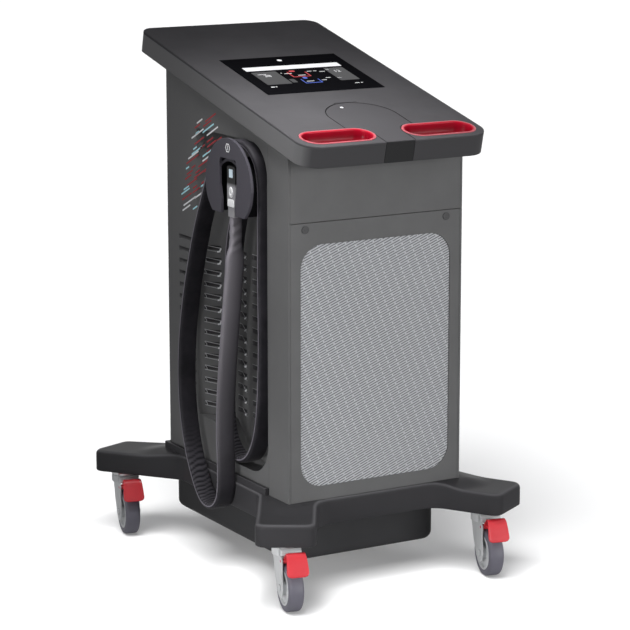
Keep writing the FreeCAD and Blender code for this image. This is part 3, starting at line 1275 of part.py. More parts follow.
def boxed_unit(node_name, x, y, z, extra=()):
    """An inner unit with a box for its case."""
    name = "".join(word.capitalize() for word in node_name.split("_"))
    case = box(name + "Case", x, y, z)
    keep(node_name, fuse(name, case, *extra) if extra else case)


def inner_units():
    """Pumps, exchanger, heater, valves, power supply and control board."""
    low = "deckTop + chassisThick"
    shelf = "shelfZ + chassisThick"
    edge = "recessBack - "
    ports = [cylinder("ExchangerPort%d" % i, "6", "16", (edge + x, "150", low + " + 150"))
             for i, x in enumerate(("76", "36"))]
    boxed_unit("heat_exchanger", (edge + "96", edge + "16"), ("120", "180"),
               (low, low + " + 150"), ports)
    heater_can = cylinder("HeaterCan", "18", "110", (edge + "118", "84", low + " + 24"), "X")
    boxed_unit("inline_heater", (edge + "100", edge + "14"), ("74", "94"),
               (low, low + " + 20"), [heater_can])
    pump_head = cylinder("PumpHead", "24", "40", (edge + "56", "-40", low + " + 30"), "Y")
    boxed_unit("water_pump", (edge + "98", edge + "14"), ("-80", "-40"),
               (low, low + " + 60"), [pump_head])
    air_head = cylinder("AirHead", "16", "30", (edge + "54", "44", low + " + 50"))
    boxed_unit("air_pump", (edge + "92", edge + "16"), ("24", "64"), (low, low + " + 50"),
               [air_head])
    coils = [cylinder("ValveCoil%d" % i, "9", "34",
                      ("-recessBack + %d" % x, "rearY - 234", shelf + " + 40"))
             for i, x in enumerate((45, 75, 105, 135))]
    boxed_unit("valve_manifold", ("-recessBack + 26", "-recessBack + 154"),
               ("rearY - 250", "rearY - 218"), (shelf, shelf + " + 40"), coils)
    boxed_unit("power_supply", ("-recessBack + 10", "-recessBack + 112"),
               ("rearY - 194", "rearY - 24"), (shelf, shelf + " + 62"))
    board_x = (edge + "130", edge + "10")
    board_y = ("rearY - 214", "rearY - 24")
    posts = [cylinder("BoardPost%d_%d" % (i, j), "3", "12", (x, y, shelf))
             for i, x in enumerate((board_x[0] + " + 8", board_x[1] + " - 8"))
             for j, y in enumerate((board_y[0] + " + 8", board_y[1] + " - 8"))]
    board = box("BoardPlate", board_x, board_y, (shelf + " + 12", shelf + " + 14"))
    chips = [box("BoardChip%d" % i, (x, x + " + 30"), (y, y + " + 24"),
                 (shelf + " + 14", shelf + " + 19"))
             for i, (x, y) in enumerate((
                 (edge + "110", "rearY - 184"), (edge + "62", "rearY - 144"),
                 (edge + "100", "rearY - 84")))]
    keep("control_board", fuse("ControlBoard", board, *posts, *chips))


def build():
    base_moulding()
    under_tray()
    casters()
    front_frame()
    front_fascia()
    filter_door()
    keep("quarter_turn_left", quarter_turn("Left", "-latchX"))
    keep("quarter_turn_right", quarter_turn("Right", "latchX"))
    side_panel()
    rear_panel()
    mains_inlet()
    mains_switch()
    panel_screws()
    hangers()
    hose_glands()
    hose()
    connector()
    console_tray()
    console_top()
    keep("handle_cups", group("HandleCups", handle_cup("Left", "-cupX"),
                              handle_cup("Right", "cupX")))
    screen()
    filler_lid()
    chassis_frame()
    reservoir()
    filler_neck()
    filler_cap()
    condenser()
    fan_shroud()
    fan_rotor()
    compressor()
    inner_units()
    doc.recompute()


def write_parts():
    """Checks every object and writes one STEP file for each sub-part."""
    for item in doc.Objects:
        if "Invalid" in item.State or "Error" in item.State:
            raise RuntimeError("%s did not compute: %s" % (item.Name, item.State))
    for item in nodes:
        if item.Shape.isNull() or not item.Shape.isValid():
            raise RuntimeError(item.Label + " has no valid shape")
    os.makedirs("parts", exist_ok=True)
    for item in nodes:
        item.Shape.exportStep("parts/%s.step" % item.Label)
    print("%d sub-parts written" % len(nodes))


build()
write_parts()
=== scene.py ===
import math
import bmesh
import bpy
import numpy as np
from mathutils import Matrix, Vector


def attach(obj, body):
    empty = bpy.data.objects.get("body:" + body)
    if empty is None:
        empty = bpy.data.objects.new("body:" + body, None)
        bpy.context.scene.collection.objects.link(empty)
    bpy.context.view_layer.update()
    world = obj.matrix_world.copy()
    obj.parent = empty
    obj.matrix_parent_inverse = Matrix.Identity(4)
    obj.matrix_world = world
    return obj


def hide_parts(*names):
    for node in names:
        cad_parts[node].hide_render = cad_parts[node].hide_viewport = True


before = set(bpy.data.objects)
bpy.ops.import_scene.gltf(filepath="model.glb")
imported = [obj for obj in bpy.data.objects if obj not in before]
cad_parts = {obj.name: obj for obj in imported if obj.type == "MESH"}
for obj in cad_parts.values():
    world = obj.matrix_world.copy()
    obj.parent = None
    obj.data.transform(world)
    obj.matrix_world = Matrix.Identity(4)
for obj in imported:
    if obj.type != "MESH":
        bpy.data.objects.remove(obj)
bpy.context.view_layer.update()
mm = 0.001
print("cart frame loaded")

# node helpers


# a socket takes a number, a colour or another node's output
def feed(tree, socket, value):
    if isinstance(value, bpy.types.NodeSocket):
        tree.links.new(value, socket)
    elif isinstance(value, (tuple, list)):
        socket.default_value = (*value, 1)[:len(socket.default_value)]
    else:
        socket.default_value = value


def addNode(tree, kind, values):
    node = tree.nodes.new("ShaderNode" + kind)
    for socket, value in values.items():
        feed(tree, node.inputs[socket], value)
    return node


def maths(tree, operation, *values):
    node = tree.nodes.new("ShaderNodeMath")
    node.operation = operation
    for socket, value in zip(node.inputs, values):
        feed(tree, socket, value)
    return node.outputs[0]


def blend(tree, factor, first, second):
    node = tree.nodes.new("ShaderNodeMix")
    node.data_type = "RGBA"
    for slot, value in ((0, factor), (6, first), (7, second)):
        feed(tree, node.inputs[slot], value)
    return node.outputs[2]


def ranged(tree, value, low, high, fromLow=0.0, fromHigh=1.0):
    return addNode(tree, "MapRange", {"Value": value, "From Min": fromLow, "From Max": fromHigh,
                                      "To Min": low, "To Max": high}).outputs["Result"]


def mapped(tree, source="Object", scale=(1, 1, 1)):
    coords = tree.nodes.new("ShaderNodeTexCoord")
    return addNode(tree, "Mapping", {"Vector": coords.outputs[source],
                                     "Scale": scale}).outputs["Vector"]


# the three parts of a place on the piece, or of its own map
def mapParts(tree, source="Object"):
    return addNode(tree, "SeparateXYZ", {0: mapped(tree, source)}).outputs


def noise(tree, vector, scale, detail=2.0, rough=0.5):
    return addNode(tree, "TexNoise", {"Vector": vector, "Scale": scale, "Detail": detail,
                                      "Roughness": rough}).outputs["Fac"]


# two measures turned by an angle: one along its slope and one square to it
def leaned(tree, angle, across, up):
    c, s = math.cos(angle), math.sin(angle)
    return (maths(tree, "ADD", maths(tree, "MULTIPLY", across, c),
                  maths(tree, "MULTIPLY", up, s)),
            maths(tree, "SUBTRACT", maths(tree, "MULTIPLY", up, c),
                  maths(tree, "MULTIPLY", across, s)))


# a material with its plain values on the shader's own sockets
def newMaterial(name, colour, roughness, metallic=0.0, specular=0.5):
    material = bpy.data.materials.new(name)
    material.use_nodes = True
    sockets = material.node_tree.nodes["Principled BSDF"].inputs
    sockets["Base Color"].default_value = (*colour, 1)
    sockets["Roughness"].default_value = roughness
    sockets["Metallic"].default_value = metallic
    sockets["Specular IOR Level"].default_value = specular
    return material, material.node_tree, sockets

# camera, lamps and floor

cameraValues = {"place": (-2.6468, -4.5886, 1.6219), "turn": 30.064, "tilt": 11.748,
                "roll": 0.025, "lens": 145.07}
sunValues = {
    "frontSun": {"turn": 24, "rise": 4, "power": 1.9, "spread": 24},
    "floorSun": {"turn": -50, "rise": 60, "power": 3.1, "spread": 34},
}
areaValues = {
    "edgeLamp": {"place": (-1.5, -0.85, 0.7), "aim": (-0.2, -0.3, 0.55), "size": (0.3, 1.3),
                 "spread": 32, "power": 0.78},
    "lowLamp": {"place": (-1.4, -0.45, 0.16), "aim": (-0.2, -0.1, 0.17), "size": (0.7, 0.2),
                "spread": 28, "power": 0.22},
    "consoleLamp": {"place": (-0.35, -0.36, 1.7), "aim": (-0.12, -0.27, 0.95),
                    "size": (0.35, 0.35), "spread": 75, "power": 2.6},
}
worldFill = 0.3
floorValues = {"size": 30, "share": 0.18, "seen": 0.92, "bounced": 0.28}


def addObject(name, data, place=(0, 0, 0)):
    thing = bpy.data.objects.new(name, data)
    thing.location = place
    bpy.context.scene.collection.objects.link(thing)
    return thing


def makeCamera(values):
    data = bpy.data.cameras.new("cartCamera")
    data.sensor_width, data.lens = 36.0, values["lens"]
    data.clip_start, data.clip_end = 0.1, 60.0
    camera = addObject("cartCamera", data, values["place"])
    camera.rotation_euler = [math.radians(a) for a in
                             (90 - values["tilt"], values["roll"], -values["turn"])]
    bpy.context.scene.camera = camera


# a lamp at a place, shining towards an aim
def makeLamp(name, kind, place, aim, power):
    data = bpy.data.lights.new(name, kind)
    data.energy = power
    lamp = addObject(name, data, place)
    lamp.rotation_euler = (Vector(aim) - Vector(place)).to_track_quat("-Z", "Y").to_euler()
    return lamp


# a sun seen at a turn from the front (positive to the right) and a rise above the floor
def makeSun(name, values):
    turn, rise = math.radians(values["turn"]), math.radians(values["rise"])
    place = Vector((math.sin(turn) * math.cos(rise), -math.cos(turn) * math.cos(rise),
                    math.sin(rise))) * 5
    lamp = makeLamp(name, "SUN", place, (0, 0, 0), values["power"])
    lamp.data.angle = math.radians(values["spread"])
    return lamp


# a soft box whose light thins out towards the rim of its spread
def makeSoftBox(name, values):
    lamp = makeLamp(name, "AREA", values["place"], values["aim"], values["power"])
    lamp.data.shape = "RECTANGLE"
    lamp.data.size, lamp.data.size_y = values["size"]
    lamp.data.spread = math.radians(values["spread"])


# white for a share of the camera, glossy and transmission rays, and the plain shader for all
# others
def seenWhite(tree, plain, white, share=1.0):
    path = tree.nodes.new("ShaderNodeLightPath")
    total = path.outputs["Is Camera Ray"]
    for ray in ("Is Glossy Ray", "Is Transmission Ray"):
        total = maths(tree, "MAXIMUM", total, path.outputs[ray])
    total = maths(tree, "MULTIPLY", total, share)
    return addNode(tree, "MixShader", {0: total, 1: plain, 2: white}).outputs[0]


def makeWorld(strength):
    world = bpy.data.worlds.new("softStudio")
    bpy.context.scene.world = world
    world.use_nodes = True
    tree = world.node_tree
    tree.nodes.clear()
    fill = addNode(tree, "Background", {"Color": (0.96, 0.97, 1.0), "Strength": strength})
    white = addNode(tree, "Background", {"Color": (1, 1, 1), "Strength": 1.0})
    addNode(tree, "OutputWorld",
            {"Surface": seenWhite(tree, fill.outputs[0], white.outputs[0])})


# A pale floor that takes shadows. The camera sees a share of plain white in it, and the light
# that it throws back on the cart is that of a greyer floor.
def makeFloor(values):
    size = values["size"]
    mesh = bpy.data.meshes.new("studioFloor")
    mesh.from_pydata([(-size, -size, 0), (size, -size, 0), (size, size, 0), (-size, size, 0)],
                     [], [(0, 1, 2, 3)])
    floor = addObject("studioFloor", mesh)
    seen, bounced = [values["seen"]] * 3, [values["bounced"]] * 3
    paint, tree, sockets = newMaterial("floorWhite", seen, 0.9, 0, 0.0)
    path = tree.nodes.new("ShaderNodeLightPath")
    feed(tree, sockets["Base Color"],
         blend(tree, path.outputs["Is Camera Ray"], bounced, seen))
    white = addNode(tree, "Emission", {"Color": (1, 1, 1), "Strength": 1.0})
    feed(tree, tree.nodes["Material Output"].inputs["Surface"],
         seenWhite(tree, tree.nodes["Principled BSDF"].outputs[0], white.outputs[0],
                   values["share"]))
    mesh.materials.append(paint)
    return floor


bpy.context.scene.view_settings.view_transform = "Standard"
makeCamera(cameraValues)
makeWorld(worldFill)
suns = {name: makeSun(name, values) for name, values in sunValues.items()}
for name, values in areaValues.items():
    makeSoftBox(name, values)
onFloor = bpy.data.collections.new("litByFloorSun")
onFloor.objects.link(makeFloor(floorValues))
suns["floorSun"].light_linking.receiver_collection = onFloor
print("camera, lamps and floor made")

# materials


# a darker and a paler shade of a colour, each a share of it away
def shades(colour, share):
    return [c * (1 - share) for c in colour], [min(1, c * (1 + share)) for c in colour]


def mottled(tree, colour, share, scale=11, detail=5, rough=0.6):
    return blend(tree, noise(tree, mapped(tree), scale, detail, rough), *shades(colour, share))


# Last steps of a material: its colour, soft edge highlights from a bevelled normal, and over
# them a fine relief, of a grain at a scale or of a height that the material already has.
def finished(material, colour, radius, grain, relief, distance=0.0003):
    tree = material.node_tree
    sockets = tree.nodes["Principled BSDF"].inputs
    if not isinstance(grain, bpy.types.NodeSocket):
        grain = noise(tree, mapped(tree), grain)
    bevel = addNode(tree, "Bevel", {"Radius": radius})
    bevel.samples = 4
    bump = addNode(tree, "Bump", {"Strength": relief, "Distance": distance, "Height": grain,
                                  "Normal": bevel.outputs["Normal"]})
    feed(tree, sockets["Normal"], bump.outputs["Normal"])
    feed(tree, sockets["Base Color"], colour)
    return material


# paint or moulded plastic: a fine grain in relief and gloss, and a soft mottle in colour
def grained(name, colour, roughness, grainScale=1200, relief=0.1, radius=0.0015, specular=0.4,
            mottle=0.05, coat=0.0):
    material, tree, sockets = newMaterial(name, colour, roughness, 0, specular)
    if coat:
        sockets["Coat Weight"].default_value = coat
        sockets["Coat Roughness"].default_value = 0.1
    marks = noise(tree, mapped(tree), 11, 5, 0.6)
    feed(tree, sockets["Roughness"],
         ranged(tree, marks, roughness - 0.05, roughness + 0.07, 0.35, 0.7))
    tone = blend(tree, ranged(tree, marks, 0, 1, 0.35, 0.65), *shades(colour, mottle))
    return finished(material, tone, radius, grainScale, relief)


# metal with fine streaks along one axis
def streakedMetal(name, colour, roughness=0.35, scale=(1, 1, 40)):
    material, tree, sockets = newMaterial(name, colour, roughness, 1.0)
    streaks = noise(tree, mapped(tree, scale=scale), 60, 4)
    feed(tree, sockets["Roughness"],
         ranged(tree, streaks, roughness - 0.08, roughness + 0.1, 0.3, 0.7))
    return finished(material, blend(tree, streaks, *shades(colour, 0.08)), 0.0008, streaks, 0.04)


# colour, roughness, grains per metre, relief, edge radius, specular, mottle and coat
paints = {
    "cabinet": grained("cabinetPaint", (0.128, 0.128, 0.129), 0.55, 1400, 0.12, 0.0012, 0.1),
    "console": grained("consolePlastic", (0.075, 0.073, 0.077), 0.6, 1100, 0.1, 0.0022, 0.0),
    "base": grained("basePlastic", (0.048, 0.047, 0.050), 0.3, 900, 0.05, 0.002, 0.02),
    "tray": grained("trayPlastic", (0.045, 0.045, 0.047), 0.5, 900, 0.08, 0.002, 0.05),
    "pedal": grained("pedalRed", (0.70, 0.028, 0.042), 0.34, 800, 0.05, 0.0008, 0.4, 0.06, 0.25),
    "caster": grained("casterGrey", (0.63, 0.64, 0.65), 0.42, 800, 0.05, 0.0008, 0.4, 0.03),
    "tread": grained("treadGrey", (0.155, 0.15, 0.185), 0.5, 700, 0.08, 0.001, 0.4),
    "steel": streakedMetal("zincSteel", (0.62, 0.62, 0.63)),
    "blackScrew": grained("blackScrew", (0.03, 0.03, 0.032), 0.4, 1500, 0.05, 0.0005),
    # black sheets that stand in for the shade inside the cabinet behind the louvres
    "shadeSheet": grained("paintedShadeSheet", (0.008, 0.008, 0.009), 0.95, 500, 0.3, 0.0004, 0.0),
    "foam": grained("filterFoam", (0.015, 0.015, 0.017), 0.95, 300, 0.6, 0.001, 0.1),
    "rubber": grained("glandRubber", (0.02, 0.02, 0.022), 0.7, 700, 0.15, 0.001, 0.2),
    "inlet": grained("inletPlastic", (0.02, 0.02, 0.022), 0.4, 900, 0.06, 0.001),
    "buttonBlue": grained("buttonBlue", (0.72, 0.86, 0.95), 0.25, 600, 0.02, 0.0008, 0.5, 0.03,
                          0.3),
    "white": grained("whitePlastic", (0.86, 0.86, 0.87), 0.35, 800, 0.03, 0.0006, 0.4, 0.02),
    "unit": grained("unitPlastic", (0.03, 0.03, 0.033), 0.6, 900, 0.1, 0.001, 0.2),
    "castMetal": streakedMetal("castAluminium", (0.3, 0.3, 0.31), 0.55, (1, 1, 1)),
    # louvre scoops: a darker grey than the cabinet's paint, painted shade inside the scoops
    "louvre": grained("louvreScoopPaintedShade", (0.06, 0.059, 0.062), 0.4, 1400, 0.05, 0.0006, 0.2),
    # pale beads along the slots' edges: painted highlights on what is the cabinet's own paint
    "louvreLipPaintedHighlight": grained("louvreLipPaintedHighlight", (0.30, 0.30, 0.31), 0.3, 1400, 0.05, 0.0006, 0.5),
    # near-white crescents at the slots' front ends: painted glints
    "louvreEndPaintedGlint": grained("louvreEndPaintedGlint", (0.85, 0.85, 0.87), 0.25, 1400, 0.05, 0.0006, 0.8),
    "seam": grained("seamShadow", (0.012, 0.012, 0.013), 0.8, 900, 0.05, 0.0004, 0.0),
}

nodePaints = {
    "cabinet": ["left_side_panel", "right_side_panel", "rear_panel", "front_frame",
                "front_fascia", "filter_door"],
    "console": ["console_top"],
    "base": ["base_moulding"],
    "tray": ["under_tray", "filler_cap"],
    "steel": ["caster_sockets", "lid_hinge_pin", "panel_screws", "power_supply"],
    "blackScrew": ["quarter_turn_left", "quarter_turn_right"],
    "foam": ["filter_foam"],
    "rubber": ["hose_glands", "hose"],
    "inlet": ["mains_inlet", "mains_switch"],
    "buttonBlue": ["connector_button"],
    "unit": ["display_module", "fan_shroud", "fan_rotor", "water_pump", "air_pump",
             "valve_manifold", "reservoir", "filler_neck", "control_board", "chassis_frame"],
    "castMetal": ["compressor", "condenser", "heat_exchanger", "inline_heater"],
    "pedal": ["handle_cups"],
}
corners = {"front_left": (-240, -314), "front_right": (240, -314),
           "rear_left": (-280, 343), "rear_right": (280, 343)}
for corner in corners:
    nodePaints.setdefault("caster", []).extend(["caster_fork_" + corner, "wheel_hub_" + corner])
    nodePaints.setdefault("tread", []).append("wheel_tyre_" + corner)
    nodePaints["pedal"].append("brake_pedal_" + corner)


def paintNode(node, material):
    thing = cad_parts[node]
    thing.data.materials.clear()
    thing.data.materials.append(material)


for paint, names in nodePaints.items():
    for node in names:
        paintNode(node, paints[paint])


grilleValues = {"pitch": 5.5, "lean": 21.7, "bridge": 40.0, "open": 0.42, "soft": 0.06,
                "long": (0.44, 0.48), "hole": (0.09, 0.092, 0.10),
                "metal": ((0.40, 0.41, 0.43), (0.48, 0.49, 0.51))}


# sheet with rows of slanted slots: rows are counted along the line square to the slots, and
# every other row's bridges are half a length further on
def grilleMaterial(values):
    material, tree, sockets = newMaterial("grilleSheet", (0.42, 0.43, 0.46), 0.45)
    lean = math.radians(values["lean"])
    parts = mapParts(tree)
    along, square = leaned(tree, lean, parts["X"], parts["Z"])

    def fromMiddle(value):
        return maths(tree, "ABSOLUTE",
                     maths(tree, "SUBTRACT", maths(tree, "FRACT", value), 0.5))

    row = maths(tree, "DIVIDE", square, values["pitch"] * mm * math.cos(lean))
    shift = maths(tree, "MULTIPLY", maths(tree, "MODULO", maths(tree, "FLOOR", row), 2.0), 0.5)
    step = maths(tree, "ADD", maths(tree, "DIVIDE", along, values["bridge"] * mm), shift)
    half, soft = values["open"] / 2, values["soft"]
    hole = maths(tree, "MULTIPLY", ranged(tree, fromMiddle(row), 1, 0, half - soft, half + soft),
                 ranged(tree, fromMiddle(step), 1, 0, *values["long"]))
    metal = blend(tree, noise(tree, mapped(tree), 50, 3), *values["metal"])
    feed(tree, sockets["Base Color"], blend(tree, hole, metal, values["hole"]))
    bump = addNode(tree, "Bump", {"Strength": 0.5, "Distance": 0.0006, "Height": hole})
    bump.invert = True
    feed(tree, sockets["Normal"], bump.outputs["Normal"])
    return material


paintNode("front_grille", grilleMaterial(grilleValues))

consoleValues = {"slope": 13.5, "frontY": -356.5, "frontZ": 936.4}


# one grey, with a darker band across the front below the top's surface
def bandedMaterial(name, grey, band, specular, values):
    material, tree = newMaterial(name, grey, 0.5, 0, specular)[:2]
    parts = mapParts(tree)
    along, lift = leaned(tree, math.radians(values["slope"]),
                         maths(tree, "SUBTRACT", parts["Y"], values["frontY"] * mm),
                         maths(tree, "SUBTRACT", parts["Z"], values["frontZ"] * mm))
    low = maths(tree, "MULTIPLY", ranged(tree, along, 1, 0, 0.008, 0.024),
                ranged(tree, lift, 1, 0, -0.002, -0.001))
    return finished(material, blend(tree, low, mottled(tree, grey, 0.05), band), 0.0022, 1100,
                    0.1)


# black glass with a faint smear in its gloss
def glassMaterial():
    material, tree, sockets = newMaterial("screenGlass", (0.005, 0.005, 0.006), 0.12, 0, 0.0)
    smear = noise(tree, mapped(tree), 18, 4)
    feed(tree, sockets["Roughness"], ranged(tree, smear, 0.08, 0.18, 0.35, 0.7))
    return material


# moulding whose hub behind is near black and whose face plate, further out, is grey
def hangerMaterial(out):
    grey, dark = (0.072, 0.068, 0.082), (0.005, 0.005, 0.006)
    material, tree = newMaterial("hangerPlastic", grey, 0.5, 0, 0.08)[:2]
    far = ranged(tree, maths(tree, "ABSOLUTE", mapParts(tree)["X"]), 0, 1, out - 0.0005,
                 out + 0.0005)
    return finished(material, blend(tree, far, dark, mottled(tree, grey, 0.06, 16, 4, 0.5)),
                    0.0025, 1100, 0.1)


# pale moulding whose upper part, round the release button, is black
def connectorMaterial(level):
    pale, black = (0.30, 0.295, 0.31), (0.012, 0.012, 0.013)
    material, tree = newMaterial("connectorPlastic", pale, 0.4, 0, 0.2)[:2]
    high = ranged(tree, mapParts(tree)["Z"], 0, 1, level - 0.004, level + 0.004)
    return finished(material, blend(tree, high, mottled(tree, pale, 0.06, 20, 4, 0.5), black),
                    0.0012, 900, 0.06)


paintNode("console_tray", bandedMaterial("consoleTray", (0.128, 0.127, 0.13),
                                         (0.056, 0.055, 0.058), 0.1, consoleValues))
paintNode("filler_lid", bandedMaterial("fillerLid", (0.070, 0.068, 0.072),
                                       (0.035, 0.035, 0.036), 0.0, consoleValues))
paintNode("screen_glass", glassMaterial())
paintNode("connector_body", connectorMaterial(0.833))
for side in ("left", "right"):
    paintNode("hanger_" + side, hangerMaterial(0.2437))
print("node materials set")

# mesh helpers


# millimetres about the cart's own origin to metres
def upright(points):
    return np.asarray(points, float).reshape(-1, 3) * mm


# millimetres (x across, v up the slope, w out of the top) to the cart's own metres
def onConsole(points):
    slope = math.radians(consoleValues["slope"])
    x, v, w = np.asarray(points, float).reshape(-1, 3).T
    return np.stack([x, consoleValues["frontY"] + v * math.cos(slope) - w * math.sin(slope),
                     consoleValues["frontZ"] + v * math.sin(slope) + w * math.cos(slope)],
                    -1) * mm


# millimetres (y, z, out) on a side of the cart; side is -1 on the left, 1 on the right
def onSide(x, side):
    def place(points):
        y, z, out = np.asarray(points, float).reshape(-1, 3).T
        return np.stack([side * (x + out), y, z], -1) * mm
    return place


# a place for points that are stretched, then moved on by a step
def moved(place, step, stretch=(1, 1, 1)):
    return lambda points: place(points * stretch + step)


# a place for shapes turned about a line that runs sideways through (along, height)
def crosswise(place, along=0.0, height=0.0):
    return lambda points: place(points[:, [2, 0, 1]] + (0, along, height))


def unit(vectors):
    return vectors / np.maximum(np.linalg.norm(vectors, axis=-1, keepdims=True), 1e-9)


# angles spread evenly round a full turn
def around(count):
    return np.linspace(0, 2 * math.pi, count, endpoint=False)


def ease(value):
    value = np.clip(value, 0, 1)
    return value * value * (3 - 2 * value)


# the sign kept and the size raised to a power
def powered(value, power):
    return np.sign(value) * np.abs(value) ** power


# (radius, height) points and the same points below their middle, in a closed loop's order
def mirrored(profile):
    return profile + [(radius, -height) for radius, height in profile[::-1]]


# how far along a line each of its points lies
def runAlong(line):
    return np.concatenate([[0], np.cumsum(np.linalg.norm(np.diff(line, axis=0), axis=1))])


# points spread evenly along a line, and how far along it each lies
def evenly(line, step, closed=False):
    if closed:
        line = np.concatenate([line, line[:1]])
    run = runAlong(line)
    s = np.linspace(0, run[-1], int(run[-1] / step) + (not closed), endpoint=not closed)
    return np.stack([np.interp(s, run, part) for part in line.T], -1), s


# quads of a rows by columns grid of points, wrapped where a direction is closed
def gridFaces(rows, columns, closeRows=False, closeColumns=False):
    i = np.arange(rows if closeRows else rows - 1)[:, None]
    j = np.arange(columns if closeColumns else columns - 1)[None, :]
    nextI, nextJ = (i + 1) % rows, (j + 1) % columns
    quads = np.stack([i * columns + j, nextI * columns + j,
                      nextI * columns + nextJ, i * columns + nextJ], axis=-1)
    return quads.reshape(-1, 4).tolist()


# a closed tube of rings, with a flat cap over its first and last ring
def tubeFaces(rows, columns):
    return gridFaces(rows, columns, closeColumns=True) + [
        list(range(columns))[::-1], list(range((rows - 1) * columns, rows * columns))]


# rings that an outline leaves on its way along a profile of (distance inwards, height)
def stacked(outline, profile):
    return np.array([np.column_stack([inset(outline, d), np.full(len(outline), h)])
                     for d, h in profile])


# a closed tube of a grid of rings, put in its place
def tube(grid, place=upright):
    return place(grid.reshape(-1, 3)), tubeFaces(*grid.shape[:2])


# one object of several (points, faces) parts, with its faces turned outwards
def makePiece(name, parts, material, body="cart", uv=None, angle=35):
    points, faces, start = [], [], 0
    for partPoints, partFaces in parts:
        points.append(np.asarray(partPoints, float).reshape(-1, 3))
        faces += [[index + start for index in face] for face in partFaces]
        start += len(points[-1])
    mesh = bpy.data.meshes.new(name)
    mesh.from_pydata(np.concatenate(points).tolist(), [], faces)
    mesh.update()
    work = bmesh.new()
    work.from_mesh(mesh)
    bmesh.ops.recalc_face_normals(work, faces=work.faces)
    work.to_mesh(mesh)
    work.free()
    piece = addObject(name, mesh)
    if uv is not None:
        layer = mesh.uv_layers.new(name="along")
        order = np.empty(len(mesh.loops), int)
        mesh.loops.foreach_get("vertex_index", order)
        layer.data.foreach_set("uv", np.asarray(uv, float)[order].ravel())
    mesh.polygons.foreach_set("use_smooth", [True] * len(mesh.polygons))
    mesh.set_sharp_from_angle(angle=math.radians(angle))
    mesh.materials.append(material)
    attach(piece, body)
    return piece


# closed outline, walked anticlockwise, whose corners are arcs tangent to both sides
def roundedOutline(cornersXY, radii, steps=8):
    cornersXY = np.asarray(cornersXY, float)
    count = len(cornersXY)
    radii = [radii] * count if np.isscalar(radii) else radii
    outline = []
    for i in range(count):
        here, r = cornersXY[i], radii[i]
        back = unit(cornersXY[i - 1] - here)
        ahead = unit(cornersXY[(i + 1) % count] - here)
        half = math.acos(np.clip(back @ ahead, -1, 1)) / 2
        if r <= 0 or math.pi / 2 - half < 1e-3:
            outline.append(here[None])
            continue
        middle = here + unit(back + ahead) * r / math.sin(half)
        first = here + back * r / math.tan(half) - middle
        last = here + ahead * r / math.tan(half) - middle
        a, b = math.atan2(first[1], first[0]), math.atan2(last[1], last[0])
        b = a + (b - a + math.pi) % (2 * math.pi) - math.pi
        t = np.linspace(a, b, steps + 1)
        outline.append(middle + r * np.stack([np.cos(t), np.sin(t)], -1))
    return np.concatenate(outline)


def roundedBox(x0, y0, x1, y1, radius, steps):
    return roundedOutline([(x0, y0), (x1, y0), (x1, y1), (x0, y1)], radius, steps)


# the outline moved inwards along its own normals
def inset(outline, distance):
    ahead = unit(np.roll(outline, -1, 0) - outline)
    behind = unit(outline - np.roll(outline, 1, 0))
    tangent = unit(ahead + behind)
    normal = np.stack([-tangent[:, 1], tangent[:, 0]], -1)
    lean = np.maximum(np.abs((tangent * ahead).sum(1)), 0.3)[:, None]
    return outline + normal * np.reshape(distance, (-1, 1)) / lean


# slab over an outline, millimetres: at depth angle t its rim is drawn in by
# radius * (1 - cos t), above and below
def softSlab(outline, low, high, radius, place, steps=3):
    t = np.linspace(0, math.pi / 2, steps + 1)
    profile = [(radius * (1 - math.sin(a)), low + radius * (1 - math.cos(a))) for a in t]
    profile += [(radius * (1 - math.cos(a)), high - radius * (1 - math.sin(a))) for a in t]
    return tube(stacked(outline, profile), place)


# a closed loop of (radius, height) turned about its axis
def turned(profile, place, count=48):
    profile = np.asarray(profile, float)
    t = around(count)
    grid = np.stack([profile[:, 0, None] * np.cos(t), profile[:, 0, None] * np.sin(t),
                     np.repeat(profile[:, 1, None], count, 1)], -1)
    return place(grid.reshape(-1, 3)), gridFaces(len(profile), count, True, True)


# smooth line through points, each run a cubic whose ends lean along its neighbours
def throughPoints(points, steps):
    points = np.asarray(points, float)
    padded = np.concatenate([2 * points[:1] - points[1:2], points,
                             2 * points[-1:] - points[-2:-1]])
    t = np.linspace(0, 1, steps, endpoint=False)[None, :, None]
    a, b, c, d = (padded[k:len(padded) - 3 + k, None] for k in range(4))
    runs = 0.5 * (2 * b + (c - a) * t + (2 * a - 5 * b + 4 * c - d) * t ** 2
                  + (3 * b - a - 3 * c + d) * t ** 3)
    return np.concatenate([runs.reshape(-1, points.shape[1]), points[-1:]])


# points and faces of a text or a curve; points nearer than a distance are made one
def curveMesh(data, near=0.0):
    carrier = bpy.data.objects.new(data.name, data)
    mesh = bpy.data.meshes.new_from_object(carrier)
    work = bmesh.new()
    work.from_mesh(mesh)
    if near:
        bmesh.ops.remove_doubles(work, verts=work.verts, dist=near)
    points = np.array([vertex.co[:] for vertex in work.verts])
    faces = [[vertex.index for vertex in face.verts] for face in work.faces]
    work.free()
    bpy.data.objects.remove(carrier)
    bpy.data.meshes.remove(mesh)
    return points, faces


# figures as a thin solid, in millimetres about their own middle
def figureMesh(text, size, thick, bold=0.0):
    data = bpy.data.curves.new("figure", "FONT")
    data.body, data.size, data.extrude, data.offset = text, size, thick / 2, bold
    data.align_x, data.align_y = "CENTER", "CENTER"
    return curveMesh(data, size * 1e-4)

# hose

